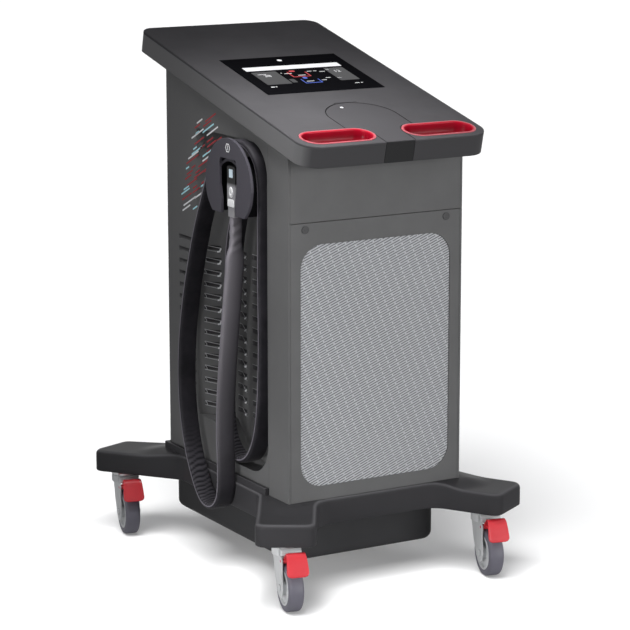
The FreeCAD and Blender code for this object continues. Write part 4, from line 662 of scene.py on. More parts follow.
hoseValues = {"wide": 41, "thick": 15, "sides": 32, "step": 1.5, "rib": 10.5, "ribDepth": 2.6,
              "tail": 92, "tailWide": 0.60, "tailThick": 1.10, "bendFrom": 2.2,
              "bendRange": 5, "ripple": 0.35, "tuck": 0.4, "wound": 1.1, "corner": 0.7,
              "route": [(-200, -54, 770.7), (-199.5, -26, 705), (-198, -20, 613),
                        (-197, 0, 513), (-196, 16, 413), (-196, 24, 323), (-196, 2, 261),
                        (-196, -52, 239), (-196, -108, 259), (-196, -142, 323),
                        (-196, -155, 413), (-196, -159, 523), (-196, -156, 633),
                        (-196, -158, 743), (-196, -160, 866), (-204, -122, 915),
                        (-213, -60, 917), (-221, 0, 872), (-223, 31, 799), (-225, 63, 731),
                        (-228, 90, 647), (-231, 114, 553), (-235, 127, 449), (-239, 120, 343),
                        (-240, 94, 247), (-240, 56, 177), (-240, 24, 142), (-240, -8, 135),
                        (-240, -38, 146), (-240, -56, 172), (-240, -60, 225), (-240, -54, 299),
                        (-240, -60, 393), (-239, -74, 498), (-238, -88, 598),
                        (-235.5, -99, 688), (-235, -101, 766.4)]}


# points along the NURBS line that has the route's points as its control points
def smoothRoute(points):
    data = bpy.data.curves.new("hoseRoute", "CURVE")
    data.dimensions = "3D"
    data.resolution_u = 16
    spline = data.splines.new("NURBS")
    spline.points.add(len(points) - 1)
    for point, at in zip(spline.points, points):
        point.co = (*at, 1)
    spline.order_u = 3
    spline.use_endpoint_u = True
    return curveMesh(data)[0]


def smoothed(values, width):
    kernel = np.ones(width) / width
    padded = np.pad(values, ((width // 2, width // 2), (0, 0)), mode="edge")
    return np.stack([np.convolve(part, kernel, "valid") for part in padded.T], -1)


# woven sleeve: fine cross weave, soft clouding, painted highlights along its round edges and
# its last run, and painted highlight and shade on its gathers; the map runs along the sleeve
# and, from 0 to 1, around it
def sleeveMaterial(length):
    material, tree, sockets = newMaterial("hoseSleeve", (0.05, 0.047, 0.054), 0.6, 0, 0.2)
    sockets["Sheen Weight"].default_value = 0.06
    sockets["Sheen Roughness"].default_value = 0.3
    parts = mapParts(tree, "UV")
    along, around = parts["X"], parts["Y"]
    turn = maths(tree, "MULTIPLY", around, 2 * math.pi)
    weave = maths(tree, "MULTIPLY",
                  maths(tree, "SINE", maths(tree, "MULTIPLY", along, 3600)),
                  maths(tree, "SINE", maths(tree, "MULTIPLY", around, 380)))
    cloud = noise(tree, mapped(tree), 22, 4, 0.6)
    body = blend(tree, ranged(tree, cloud, 0, 1, 0.3, 0.7), (0.014, 0.013, 0.016),
                 (0.030, 0.028, 0.034))
    # a painted highlight on its last hanging run, strongest on its outer half
    outer = maths(tree, "COSINE", turn)
    last = ranged(tree, along, 0, 1, length - 0.60, length - 0.20)
    half = blend(tree, ranged(tree, outer, 1, 0, -0.7, 0.8), (0.055, 0.052, 0.060),
                 (0.27, 0.255, 0.28))
    body = blend(tree, last, body, half)
    # gathers: a painted highlight on their ridges and painted shade in their folds
    foldShadeAndRidgeHighlight = tree.nodes.new("ShaderNodeAttribute")
    foldShadeAndRidgeHighlight.attribute_name = "foldShadeAndRidgeHighlight"
    foldShadeAndRidgeHighlight = foldShadeAndRidgeHighlight.outputs["Fac"]
    body = blend(tree, ranged(tree, foldShadeAndRidgeHighlight, 0, 1, 0, 1), body, (0.075, 0.071, 0.082))
    body = blend(tree, ranged(tree, foldShadeAndRidgeHighlight, 1, 0, -1, 0), body, (0.004, 0.004, 0.005))
    # a painted highlight along the two round ends of the section, which lie at 0 and 0.5 around,
    # far stronger at the one at 0.5
    fromEdge = maths(tree, "ABSOLUTE", maths(tree, "SINE", turn))
    edge = maths(tree, "MULTIPLY", ranged(tree, fromEdge, 1, 0, 0.05, 0.2),
                 ranged(tree, outer, 1, 0.1, -0.2, 0.2))
    feed(tree, sockets["Base Color"], blend(tree, edge, body, (0.22, 0.205, 0.24)))
    height = maths(tree, "ADD", maths(tree, "MULTIPLY", weave, 0.2), cloud)
    bump = addNode(tree, "Bump", {"Strength": 0.2, "Distance": 0.001, "Height": height})
    feed(tree, sockets["Normal"], bump.outputs["Normal"])
    return material


# Flat sleeve: a stadium section carried along the route, its width held along X. Where its
# inner side is on the inside of a bend it gathers into ribs, each the absolute value of a
# sine along the route, as deep as the bend is tight.
def makeHose(v):
    path, s = evenly(smoothRoute(np.array(v["route"]) * mm), v["step"] * mm)
    tangent = unit(smoothed(np.gradient(path, axis=0), 9))
    side = unit(np.cross(np.tile([1.0, 0, 0], (len(path), 1)), tangent))
    wide = np.cross(tangent, side)
    bend = np.einsum("ij,ij->i", np.gradient(tangent, axis=0) / (v["step"] * mm), side)
    bend = smoothed(bend[:, None], 181)
    t = around(v["sides"])
    thick, reach = v["thick"] / 2 * mm, (v["wide"] - v["thick"]) / 2 * mm
    flatX = np.clip(np.cos(t) * 1.9, -1, 1) * reach + np.cos(t) * thick
    flatY = powered(np.sin(t), v["corner"]) * thick
    onFlat = np.clip(np.abs(flatY) / thick, 0, 1)
    inside = np.clip((bend * np.sign(flatY) - v["bendFrom"]) / v["bendRange"], 0, 1) * onFlat
    far = s[:, None]
    wave = far / (v["rib"] * mm) * math.pi + np.sin(far * 37) * 1.6
    wave = wave + flatX * 70 + np.sin(flatX * 210 + far * 60) * 0.5
    ribs = np.abs(np.sin(wave)) ** 0.6
    draw = inside * (1 - ribs) * v["ribDepth"] * mm
    ripple = (1 - ribs) * v["ripple"] * mm * np.clip(np.sin(far * 9) + 0.2, 0, 1)
    y = flatY - np.sign(flatY) * (draw + ripple + v["tuck"] * mm)
    # it ends narrower, thicker and lightly wound in the connector
    tail = ease((far - (s[-1] - v["tail"] * mm)) / (0.45 * v["tail"] * mm))
    x = flatX * (1 - (1 - v["tailWide"]) * tail)
    wound = np.sin(far * 300 - flatX * 110) * v["wound"] * mm * tail
    y = y * (1 + (v["tailThick"] - 1) * tail) + wound * np.sign(flatY) * (np.abs(flatY) / thick)
    ring = path[:, None] + wide[:, None] * x[..., None] + side[:, None] * y[..., None]
    uv = np.stack(np.broadcast_arrays(far, np.arange(v["sides"]) / v["sides"]), -1)
    hose = makePiece("hoseSleeve", [(ring.reshape(-1, 3), tubeFaces(*ring.shape[:2]))],
                     sleeveMaterial(s[-1]), uv=uv.reshape(-1, 2), angle=75)
    # painted highlight (up to 1) on the ridges and painted shade (down to -1) in the folds of the
    # gathers
    layer = hose.data.attributes.new("foldShadeAndRidgeHighlight", "FLOAT", "POINT")
    layer.data.foreach_set("value", (inside * (2 * ribs - 1)).ravel())
    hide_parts("hose")


makeHose(hoseValues)
print("hose made")

# base

# edgeHighlight and curbHighlight: strengths of painted highlights along the base's rim and the
# curb's outer round
baseValues = {"under": 141, "deck": 196, "drop": 9, "blend": 62, "edge": 9, "edgeDrop": 10,
              "lowEdge": 2.5, "step": 5, "waistHalf": 218.5, "waistFront": 268,
              "waistRear": 318, "frontSwivel": (240, 314), "frontReach": 60, "frontSplay": 31,
              "frontFootWidth": 123, "rearOut": (357, 365), "rearIn": (250, 404),
              "rearSplay": 38, "rearRootX": 150, "tipRound": 22, "neckRound": 55,
              "seat": (215, -264.8, 273.5), "well": (150, -200, 250),  # half width, front, rear
              "curb": (206.4, 215, -182.5, 264.9, 273.5), "curbTall": 15,
              "curbRound": (0.18, 1.7), "curbHighlight": 0.6, "skirt": 12,
              "edgeHighlight": (0.5, 1, 0.8, 0.3)}


# base plastic with a painted highlight in a paler colour along its rims; the map's first part
# is the place on the rim
def rimHighlightMaterial():
    dark, pale = (0.048, 0.047, 0.050), (0.11, 0.108, 0.114)
    material, tree = newMaterial("basePlasticPaintedRimHighlight", dark, 0.3, 0, 0.02)[:2]
    rim = ranged(tree, mapParts(tree, "UV")["X"], 0, 1, 0, 1)
    return finished(material, blend(tree, rim, mottled(tree, dark, 0.06), pale), 0.002, 900, 0.05)


def nearestOn(points, box):
    half, low, high = box
    return np.stack([np.clip(points[:, 0], -half, half), np.clip(points[:, 1], low, high)], -1)


# Four splayed feet: rings run from the well out along the underside, up the skirt, over a
# quarter-ellipse edge, and in to the cabinet's seat and back to the well. The top's height
# falls from the deck by an eased step of the distance from the seat. The curb is a
# rounded-top wall round three sides of the cabinet.
def makeBase(v):
    splay, rear = math.radians(v["frontSplay"]), math.radians(v["rearSplay"])
    reach, half = v["frontReach"], v["frontFootWidth"] / 2
    tipX = v["frontSwivel"][0] + reach * math.sin(splay)
    tipY = v["frontSwivel"][1] + reach * math.cos(splay)
    out = (tipX + half * math.cos(splay), -tipY + half * math.sin(splay))
    inn = (tipX - half * math.cos(splay), -tipY - half * math.sin(splay))
    waist, front = v["waistHalf"], -v["waistFront"]
    right = [(inn[0] - (front - inn[1]) * math.tan(splay), front), inn, out,
             (waist, out[1] + (out[0] - waist) / math.tan(splay)),
             (waist, v["rearOut"][1] - (v["rearOut"][0] - waist) / math.tan(rear)),
             v["rearOut"], v["rearIn"], (v["rearRootX"], v["waistRear"])]
    outline = roundedOutline(right + [(-x, y) for x, y in right[::-1]],
                             [v["neckRound"], v["tipRound"], v["tipRound"], v["neckRound"]] * 4)
    outline = evenly(outline, v["step"], True)[0]
    seat, well = nearestOn(outline, v["seat"]), nearestOn(outline, v["well"])
    edge = np.clip(np.linalg.norm(outline - seat, axis=1) - 0.3, 3.0, v["edge"])
    low, under, drop, t = v["lowEdge"], v["under"], v["edgeDrop"], np.linspace(0, math.pi / 2, 7)

    def top(points):
        away = np.linalg.norm(points - nearestOn(points, v["seat"]), axis=1)
        return v["deck"] - v["drop"] * ease(away / v["blend"])

    def ring(points, heights):
        return np.column_stack([points, np.broadcast_to(heights, len(points))])

    rimLine = inset(outline, edge)
    rim = top(rimLine) - drop
    rings = [ring(well, under), ring(inset(outline, low), under)]
    rings += [ring(inset(outline, low * (1 - math.sin(a))), under + low * (1 - math.cos(a)))
              for a in t[1::2]]
    rings += [ring(outline, under + v["skirt"]), ring(outline, rim)]
    rings += [ring(inset(outline, edge * (1 - math.cos(a))), rim + drop * math.sin(a))
              for a in t[1:]]
    edgeEnd = len(rings)
    for share in np.linspace(0, 1, 12)[1:] ** 1.2:
        points = rimLine + (seat - rimLine) * share
        rings.append(ring(points, top(points)))
    grid = np.array(rings + [ring(well, v["deck"])])
    # painted highlight along the rings of the rim's round edge
    rimHighlight = np.zeros(grid.shape[:2])
    rimHighlight[edgeEnd - 4:edgeEnd] = np.array(v["edgeHighlight"])[:, None]
    base = (upright(grid.reshape(-1, 3)), gridFaces(*grid.shape[:2], True, True))

    xIn, xOut, yFront, yIn, yOut = v["curb"]
    inLine, outLine = (np.array([(x, yFront), (x, y), (-x, y), (-x, yFront)])
                       for x, y in ((xIn, yIn), (xOut, yOut)))
    a = np.linspace(0, math.pi / 2, 5)
    drawn = v["curbRound"][0] * (1 - np.cos(a))
    risen = v["curbTall"] + v["curbRound"][1] * (np.sin(a) - 1)
    shares = np.concatenate([[0], drawn, 1 - drawn[::-1], [1]])
    rise = np.concatenate([[-1], risen, risen[::-1], [-1]])
    curb = np.stack([np.column_stack([outLine + (inLine - outLine) * share,
                                      np.full(4, v["deck"] + height)])
                     for share, height in zip(shares, rise)], 1)
    # painted highlight on the curb's outer round
    curbHighlight = np.zeros(curb.shape[:2])
    curbHighlight[:, 3:5] = v["curbHighlight"]  # the upper half of the outer round
    rimHighlight = np.concatenate([rimHighlight.ravel(), curbHighlight.ravel()])
    piece = makePiece("baseShell", [base, tube(curb)], rimHighlightMaterial(),
                      uv=np.stack([rimHighlight, rimHighlight * 0], -1), angle=50)
    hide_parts("base_moulding")


makeBase(baseValues)

trayValues = {"half": 181, "front": -218, "rear": 300, "corner": 30, "low": 54, "high": 141,
              "round": 18, "wall": 3, "edge": 0.2}


# shallow pan below the base: rings from its underside round the lower edge and up its walls,
# over the rim and back down inside
def makeTray(v):
    outline = roundedBox(-v["half"], v["front"], v["half"], v["rear"], v["corner"], 10)
    r, low, high, wall = v["round"], v["low"], v["high"], v["wall"]
    outer = [(r * (1 - math.sin(a)), low + r * (1 - math.cos(a)))
             for a in np.linspace(0, math.pi / 2, 7)]
    inner = [(wall + d, h + wall) for d, h in outer[::-1]]
    rim = [(0, high - v["edge"]), (0, high), (wall, high)]
    tray = makePiece("trayShell", [tube(stacked(outline, outer + rim + inner))], paints["tray"],
                     angle=50)
    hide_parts("under_tray")


makeTray(trayValues)
print("base and tray made")

# casters

casterValues = {
    "heading": 13, "trail": 28, "wheel": 50, "gap": 37,
    "crown": (6.05, 30, 112.7, 130.7, 2),  # bore, radius, bottom, top and bevel
    "armThick": 3.5, "armEdge": 1.3, "hoodEdge": 3.0,
    "arm": [(22, 130.7), (-30, 130.7), (-30, 118.7), (-40, 112), (-42, 104), (-40, 80),
            (-46, 50), (-37, 30), (-20, 29), (-8, 40), (8, 70), (23, 112)],
    "armRound": [3, 3, 4, 6, 8, 14, 14, 14, 12, 14, 20, 4],
    "hood": [(27, 130.7), (-31, 130.7), (-36, 127), (-37, 119), (-33, 116), (27, 112.7)],
    "hoodRound": [3, 5, 4, 4, 6, 3],
    "tread": mirrored([(37, -15.2), (40, -16), (44.5, -15.8), (47.6, -14.2), (49.4, -11.8),
                       (50, -9)]),
    "hub": mirrored([(5.05, -18.1), (11, -18.1), (12, -17.2), (12.5, -11.5), (14, -10.8),
                     (29, -10.8), (31, -11.6), (32, -14.8), (33.2, -15.9), (36, -15.9),
                     (36.9, -15.2)]),
    "bolt": [(0.4, 22.0), (6.5, 22.0), (7.6, 22.4), (7.6, 24), (6.6, 25), (0.4, 25.6)],
    "axle": mirrored([(0.5, -20), (4.9, -20)]),
}
pedalValues = {
    "pin": (-33, 107), "thick": 3.2, "round": 9.5, "rim": 0.55,
    # the side line on from the pin, and half the width at each of its points
    "path": [(0, 4.5), (-12, 14.2), (-24, 23), (-33, 24.3), (-40, 18.5), (-45, 8),
             (-48.5, -1.5), (-52.3, -12), (-54.6, -20)],
    "half": [16.5, 17.2, 18.5, 19.8, 20.8, 21.8, 22.6, 23.2, 23.4],
    "corners": (0.45, 0.6), "toe": 2.5, "border": (0.93, 0.14), "flatFrom": (26, 6),
    "barrel": mirrored([(2, -17.8), (5.2, -17.8), (5.6, -17.2)]),
    "rod": mirrored([(0.4, -22.2), (2.95, -22.2)]),
}


# (sideways, along, height) in millimetres about a swivel axis, turned to the heading
def atCaster(corner):
    x0, y0 = corners[corner]
    turn = math.radians(casterValues["heading"])

    def place(points):
        x, y, z = np.asarray(points, float).reshape(-1, 3).T
        return np.stack([x0 + x * math.cos(turn) + y * math.sin(turn),
                         y0 - x * math.sin(turn) + y * math.cos(turn), z], -1) * mm
    return place


def makeCaster(corner, v):
    place = atCaster(corner)
    axle = crosswise(place, -v["trail"], v["wheel"])
    arm = roundedOutline(v["arm"], v["armRound"], 5)
    hood = roundedOutline(v["hood"], v["hoodRound"], 5)
    inner, outer = v["gap"] / 2, v["gap"] / 2 + v["armThick"]
    bore, radius, low, high, bevel = v["crown"]
    crown = [(bore, low), (radius - bevel, low), (radius, low + bevel), (radius, high - bevel),
             (radius - bevel, high), (bore, high)]
    bolt = np.array(v["bolt"])
    parts = [softSlab(arm, inner, outer, v["armEdge"], crosswise(place)),
             softSlab(arm, -outer, -inner, v["armEdge"], crosswise(place)),
             softSlab(hood, -outer, outer, v["hoodEdge"], crosswise(place)),
             turned(crown, place), turned(bolt, axle, 24), turned(bolt * (1, -1), axle, 24),
             turned(v["axle"], axle, 16)]
    fork = makePiece("casterFork." + corner, parts, paints["caster"], "fork_" + corner)
    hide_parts("caster_fork_" + corner)
    hub = makePiece("wheelCentre." + corner, [turned(v["hub"], axle, 64)], paints["caster"],
                    "wheel_" + corner)
    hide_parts("wheel_hub_" + corner)
    tyre = makePiece("wheelTread." + corner, [turned(v["tread"], axle, 72)], paints["tread"],
                     "wheel_" + corner, angle=50)
    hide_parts("wheel_tyre_" + corner)


# Bent plate: a flat loop with round ends carried along the pedal's side line, its width
# given along the line and drawn in over a quarter circle at the toe. Its face is dished by
# the rim's height inside an eased border.
def makePedal(corner, v):
    line, half = throughPoints(v["path"], 6), throughPoints(np.array(v["half"])[:, None], 6)
    run = runAlong(line)[:, None]
    left, r = run[-1] - run, v["round"]
    half = half - np.where(left < r, r - np.sqrt(np.maximum(r * r - (r - left) ** 2, 0)), 0)
    tangent = unit(np.gradient(line, axis=0))
    normal = np.stack([tangent[:, 1], -tangent[:, 0]], -1)
    normal *= np.sign(-normal[-1, 0])
    t = around(40)
    across, through = powered(np.cos(t), v["corners"][0]), powered(np.sin(t), v["corners"][1])
    thin = v["thick"] / 2 * (0.35 + 0.65 * ease(left / v["toe"]))
    inner, fade = v["border"]
    start, rise = v["flatFrom"]
    border = ease((inner - np.abs(across)) / fade) * ease((left - v["toe"]) / 3)
    border = border * ease((run - start) / rise) * (through > 0)
    out = through * thin - border * v["rim"] - v["thick"] / 2
    grid = np.stack([half * across, line[:, :1] + normal[:, :1] * out + v["pin"][0],
                     line[:, 1:] + normal[:, 1:] * out + v["pin"][1]], -1)
    place = atCaster(corner)
    aboutPin = crosswise(place, *v["pin"])
    parts = [tube(grid, place), turned(v["barrel"], aboutPin, 24), turned(v["rod"], aboutPin, 16)]
    piece = makePiece("brakePedal." + corner, parts, paints["pedal"], "pedal_" + corner, angle=60)
    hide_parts("brake_pedal_" + corner)


for corner in corners:
    makeCaster(corner, casterValues)
    makePedal(corner, pedalValues)
print("casters made")

# handle cups

cupValues = {"x": 118.5, "v": 49, "length": 155, "round": 29, "step": 3.0,
             "section": [(-6.0, 0.05), (-6.0, 0.7), (-5.7, 1.05), (-5.2, 1.2), (-2.2, 1.2),
                         (-0.9, 0.85), (0.0, -0.2), (0.35, -2.2), (0.9, -8), (2.2, -15),
                         (5.2, -21.5), (9.8, -26.2), (15, -28.9), (20, -29.8), (26, -30)],
             "under": [(26, -32), (19.4, -31.9), (14, -31), (8.5, -28.2), (3.6, -23.3),
                       (0.6, -16.4), (-1.5, -8), (-1.8, -3), (-1.8, 0.05)]}


# glossy red with a painted pink reflection on the rim at the mouth and painted shade that
# deepens the red further inside; the map's first part is the place across the section, 0 at
# the rim's outer edge
def cupMaterial():
    material, tree, sockets = newMaterial("cupRedWithPaintedLight", (0.5, 0.005, 0.03), 0.3, 0, 0.08)
    sockets["Coat Weight"].default_value = 0.03
    sockets["Coat Roughness"].default_value = 0.1
    place = mapParts(tree, "UV")["X"]
    flow = noise(tree, mapped(tree), 30, 3)
    # painted shade: the darker red of the cup's lower inside
    deep = blend(tree, flow, (0.17, 0.001, 0.008), (0.25, 0.003, 0.014))
    shadedWall = blend(tree, ranged(tree, place, 0, 1, 0.44, 0.62), (0.38, 0.006, 0.022), deep)
    # painted reflection: pink on the rim
    colour = blend(tree, ranged(tree, place, 0, 1, 0.22, 0.36), (0.42, 0.09, 0.11), shadedWall)
    return finished(material, colour, 0.0008, flow, 0.02, 0.0005)


# each cup: rings of its mouth's outline, drawn in and let down along a section
def makeCups(v):
    section, top = v["section"] + v["under"], len(v["section"])
    half, r = v["length"] / 2, v["round"]
    material = cupMaterial()
    for side, name in ((-1, "left"), (1, "right")):
        x0 = side * v["x"]
        mouth = roundedBox(x0 - half, v["v"] - r, x0 + half, v["v"] + r, r - 0.01, 24)
        grid = stacked(evenly(mouth, v["step"], True)[0], section)
        rows, columns = grid.shape[:2]
        # the two floors are closed and the loop's ends meet under the rim
        faces = [face for face in gridFaces(rows, columns, True, True)
                 if not (min(face) // columns == top - 1 and max(face) // columns == top)]
        faces += [list(range((top - 1) * columns, top * columns)),
                  list(range(top * columns, (top + 1) * columns))[::-1]]
        along = np.clip(np.arange(rows) / (top - 1), 0, 1)
        uv = np.stack(np.broadcast_arrays(along[:, None], np.linspace(0, 1, columns)), -1)
        cup = makePiece("handleCup." + name, [(onConsole(grid.reshape(-1, 3)), faces)],
                        material, uv=uv.reshape(-1, 2), angle=60)
        if side < 0:
            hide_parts("handle_cups")


makeCups(cupValues)
print("cups made")

# seam round the filler lid

# lid: middle and radius of its round; bite: place across, place up and radius
seamValues = {"clear": 0.9, "wide": 1.5, "low": -0.4, "high": 0.12, "lid": (145, 78),
              "flank": 77, "bite": (70, 49, 37), "tab": 33, "tabEnds": (26.0, 1.0)}


# a thin strip of painted shade on the console's top, along the lid's round, past its bites and
# down its tab, on both sides
def makeSeam(v):
    def arc(middle, radius, start, end, count):
        t = np.linspace(start, end, count)
        return np.stack([middle[0] + radius * np.cos(t), middle[1] + radius * np.sin(t)], -1)

    centre, radius = v["lid"]
    biteX, biteV, bite = v["bite"]
    right = np.concatenate([
        arc((0, centre), radius, math.pi / 2, math.acos(v["flank"] / radius), 24),
        arc((biteX, biteV), bite, math.acos((v["flank"] - biteX) / bite), math.pi, 16),
        [(v["tab"], end) for end in v["tabEnds"]]])
    line = np.concatenate([right[::-1], (right * (-1, 1))[1:]])
    ahead = unit(np.gradient(line, axis=0))
    out = np.stack([ahead[:, 1], -ahead[:, 0]], -1)
    near, far = line + out * v["clear"], line + out * (v["clear"] + v["wide"])
    grid = np.stack([np.column_stack([points, np.full(len(line), level)])
                     for points, level in ((near, v["low"]), (near, v["high"]),
                                           (far, v["high"]), (far, v["low"]))], 1)
    makePiece("lidSeam", [tube(grid, onConsole)], paints["seam"], angle=30)


makeSeam(seamValues)
print("lid seam made")

# screen picture

# shapes are placed from the middle of the front edge of the glass; a round one has a middle,
# a box two corners and a radius, and a figure its text, middle and size
screenValues = {"lift": 0.34, "thick": 0.06, "front": 297.5, "dot": 5.6,
                "figures": [("38", -83, 108, 17), ("12", 87, 112, 17), ("4", -44.5, 120, 8),
                            ("15", 69, 124, 8)]}
pictureParts = {
    "pictureWhite": [(-115.5, 141.5, 115.5, 164.5, 2), (-6.5, 197.5),
        (-101.5, 117, -81, 120, 1), (-39.5, 114, -21.5, 116.5, 1), (45.5, 114, 59, 116.5, 1),
        (18, 120, 29.5, 122.5, 1), (33.5, 120, 41.5, 122.5, 1), (65, 72, 77, 74.5, 1),
        (39.5, 76, 51.5, 78.5, 1), (23.5, 64, 35.5, 66.5, 1), (-14, 100, 4, 102.5, 1),
        (-14, 62, 4, 64.5, 1), (-110.5, 40.5, -101.5, 44.5, 1), (-99.5, 40.5, -96, 44.5, 1),
        (87, 34.5, 98.5, 37, 1), (101.5, 34.5, 106.5, 37, 1)],
    "pictureGrey": [(-110.5, 56, -51.5, 133.5, 3), (65, 56, 111.5, 133.5, 3),
        (-47.5, 61, -35.5, 82, 2)],
    "pictureRed": [(-29.5, 92, -27, 124, 0.6), (-29.5, 92, 14, 94.5, 0.6),
        (11.5, 92, 14, 120, 0.6), (-21.5, 124, -8, 131.5, 3)],
    "pictureBlue": [(-21.5, 52, -19.5, 78, 0.6), (-21.5, 52, 19.5, 54.5, 0.6),
        (17.5, 52, 19.5, 74, 0.6), (-12, 79, -2, 89, 4)],
}
pictureTones = {"pictureWhite": ((0.80, 0.80, 0.82), 0.75),
                "pictureGrey": ((0.03, 0.03, 0.034), 0.25),
                "pictureRed": ((0.60, 0.02, 0.03), 0.6),
                "pictureBlue": ((0.05, 0.12, 0.62), 0.7)}


# lit shapes: their own colour given off, with a faint row pattern of the panel
def litMaterial(name, colour, glow):
    material, tree, sockets = newMaterial(name, [c * 0.4 for c in colour], 0.3, 0, 0.1)
    rows = addNode(tree, "TexWave", {"Scale": 160, "Vector": mapped(tree)})
    rows.wave_type = "BANDS"
    rows.bands_direction = "Y"
    feed(tree, sockets["Emission Color"],
         blend(tree, rows.outputs["Fac"], *shades(colour, 0.05)))
    sockets["Emission Strength"].default_value = glow
    return material


def makePicture(v):
    onGlass = moved(onConsole, (0, v["front"], 0))
    t = around(32)
    dot = np.stack([np.cos(t), np.sin(t)], -1) * v["dot"]
    for name, shapes in pictureParts.items():
        parts = [softSlab(dot + shape if len(shape) == 2 else roundedBox(*shape, 4), v["lift"],
                          v["lift"] + v["thick"], 0.02, onGlass, 1) for shape in shapes]
        if name == "pictureWhite":
            for text, x, up, size in v["figures"]:
                points, faces = figureMesh(text, size, v["thick"])
                parts.append((onGlass(points + (x, up, v["lift"] + 0.04)), faces))
        colour, glow = pictureTones[name]
        makePiece(name, parts, litMaterial(name, colour, glow), angle=30)


makePicture(screenValues)
print("screen picture made")

# louvre scoops in both side panels

# Each column: its wall's middle, the ways along and into the wall, a slot's length, and the
# top slot's height above the deck. Rims, pale beads of painted highlight on the slots' edges,
# and ends, beads of painted glint at their front ends, are strokes through points, each given
# as the slot's end (-1 to 1) and millimetres on from it, then its edge and millimetres above it.
louvreValues = {"rows": 14, "pitch": 26.1, "tall": 10, "deep": 8.5, "skin": 1.0, "end": 7,
                "deck": 196, "rim": 0.85, "hood": 1.8, "shadeSheet": (10.2, 10.8), "past": 3,
                "gap": 0.15,
                "rims": {"back": [[(-1, 0, 1, 0.6), (0, 0, 1, 0.6), (1, -20, 1, 0.6),
                                   (1, -15, 1, -3.175), (1, -10, 1, -6.95),
                                   (1, -5, 1, -10.725), (1, 0, 1, -14.5)]],
                         "slant": [[(-1, 0, 1, 0.6), (0, 0, 1, -2.4), (1, 0, 1, -5.4)],
                                   [(-1, 0, -1, 1.4), (0, 0, -1, -1.6), (1, 0, -1, -4.6)],
                                   [(-1, 0, 1, 0.6), (-1, 4, 1, -4), (-1, 5, -1, 1)]],
                         "fore": [[(-1, 0, 1, 0.6), (0, 0, 1, 0.6), (1, 0, 1, 0.6)]]},
                "ends": {"back": [[(1, -9, -1, -2.2), (1, -5, -1, -0.8), (1, -2, -1, 2.2)]],
                         "slant": [[(1, -8, -1, -3.4), (1, -3, -1, -2.4), (1, 0, 1, -5.6)]]},
                "columns": {"flat": ((-206, 174), (0, -1), (1, 0), 76, 482),
                            "slant": ((-182, 104), (0.7071, -0.7071), (0.7071, 0.7071), 38, 470),
                            "back": ((-150, 32), (0, -1), (1, 0), 40, 466),
                            "fore": ((-150, -33), (0, -1), (1, 0), 40, 466)}}


# millimetres along, into and up a wall, on one side of the cart
def onWall(wall, side, run, depth, height):
    middle, along, inward = wall[:3]
    return np.stack([-side * (middle[0] + run * along[0] + depth * inward[0]),
                     middle[1] + run * along[1] + depth * inward[1], height], -1)


# One scoop: a skin that leans inwards from the slot's lower edge to an open lip above, its
# depth an eased step in from each end times the height to the power 0.8.
def louvreScoop(v, wall, level, side):
    half, tall, gap = wall[3] / 2, v["tall"], v["gap"]
    u = np.array([-1, -0.94, -0.86, -0.74, -0.4, 0.4, 0.74, 0.86, 0.94, 1])[:, None]
    rise = np.array([0, 0.2, 0.45, 0.75, 1.0])
    depth = v["deep"] * ease((1 - np.abs(u)) * half / v["end"]) * rise ** 0.8 + 0.05
    run, height = np.broadcast_arrays(u * (half - gap),
                                      level - tall / 2 + gap + rise * (tall - 2 * gap))
    # out along the skin's front and home along its back
    run, height = (np.concatenate([part, part[:, ::-1]], axis=1) for part in (run, height))
    depth = np.concatenate([depth, depth[:, ::-1] + v["skin"]], axis=1)
    return tube(onWall(wall, side, run, depth, height))


# A slot's rolled edge or a crescent at its end: a thin six-sided bead that follows (run,
# height) points on the wall's face, from the slot's middle, in paint that is a painted
# highlight or glint.
def louvreBead(wall, points, level, side, radius):
    line = np.asarray(points, float)
    ahead = unit(np.gradient(line, axis=0))
    across = np.stack([-ahead[:, 1], ahead[:, 0]], -1)
    t = around(6)
    flat = line[:, None] + across[:, None] * (np.cos(t) * radius)[None, :, None]
    depth = np.broadcast_to(-0.3 * radius - np.sin(t) * radius * 0.6, flat.shape[:2])
    return tube(onWall(wall, side, flat[..., 0], depth, level + flat[..., 1]))


def makeLouvres(v):
    def levels(wall):
        return [v["deck"] + wall[4] - row * v["pitch"] for row in range(v["rows"])]

    def beads(strokes, side, radius):
        return [louvreBead(wall, [(end * wall[3] / 2 + run, edge * v["tall"] / 2 + rise)
                                  for end, run, edge, rise in points], level, side, radius)
                for column, wall in v["columns"].items()
                for points in strokes.get(column, []) for level in levels(wall)]

    for side, name in ((-1, "left"), (1, "right")):
        scoops = [louvreScoop(v, wall, level, side) for wall in v["columns"].values()
                  for level in levels(wall)]
        # rims carry painted highlights, ends painted glints, and scoops painted shade
        for kind, parts, paint in (("RimHighlights", beads(v["rims"], side, v["rim"]), "louvreLipPaintedHighlight"),
                                   ("EndGlints", beads(v["ends"], side, v["hood"]), "louvreEndPaintedGlint"),
                                   ("Scoops", scoops, "louvre")):
            piece = makePiece("louvre" + kind + "." + name, parts, paints[paint], angle=60)


# black sheets of painted shade inside the walls, one behind each column of louvres, standing for
# the dark inside of the cabinet
def makeShadeSheets(v):
    past = v["past"]
    for side, name in ((-1, "left"), (1, "right")):
        sheets = []
        for wall in v["columns"].values():
            half, high = wall[3] / 2 + past, v["deck"] + wall[4] + v["tall"] / 2 + past
            low = high - (v["rows"] - 1) * v["pitch"] - v["tall"] - 2 * past
            run, height, depth = np.meshgrid(np.linspace(-half, half, 5),
                                             np.linspace(low, high, 15), v["shadeSheet"],
                                             indexing="ij")
            grid = onWall(wall, side, run, depth, height)
            sheets.append(tube(np.concatenate([grid[:, :, 0], grid[:, ::-1, 1]], axis=1)))
        makePiece("louvreShadeSheet." + name, sheets, paints["shadeSheet"], angle=30)


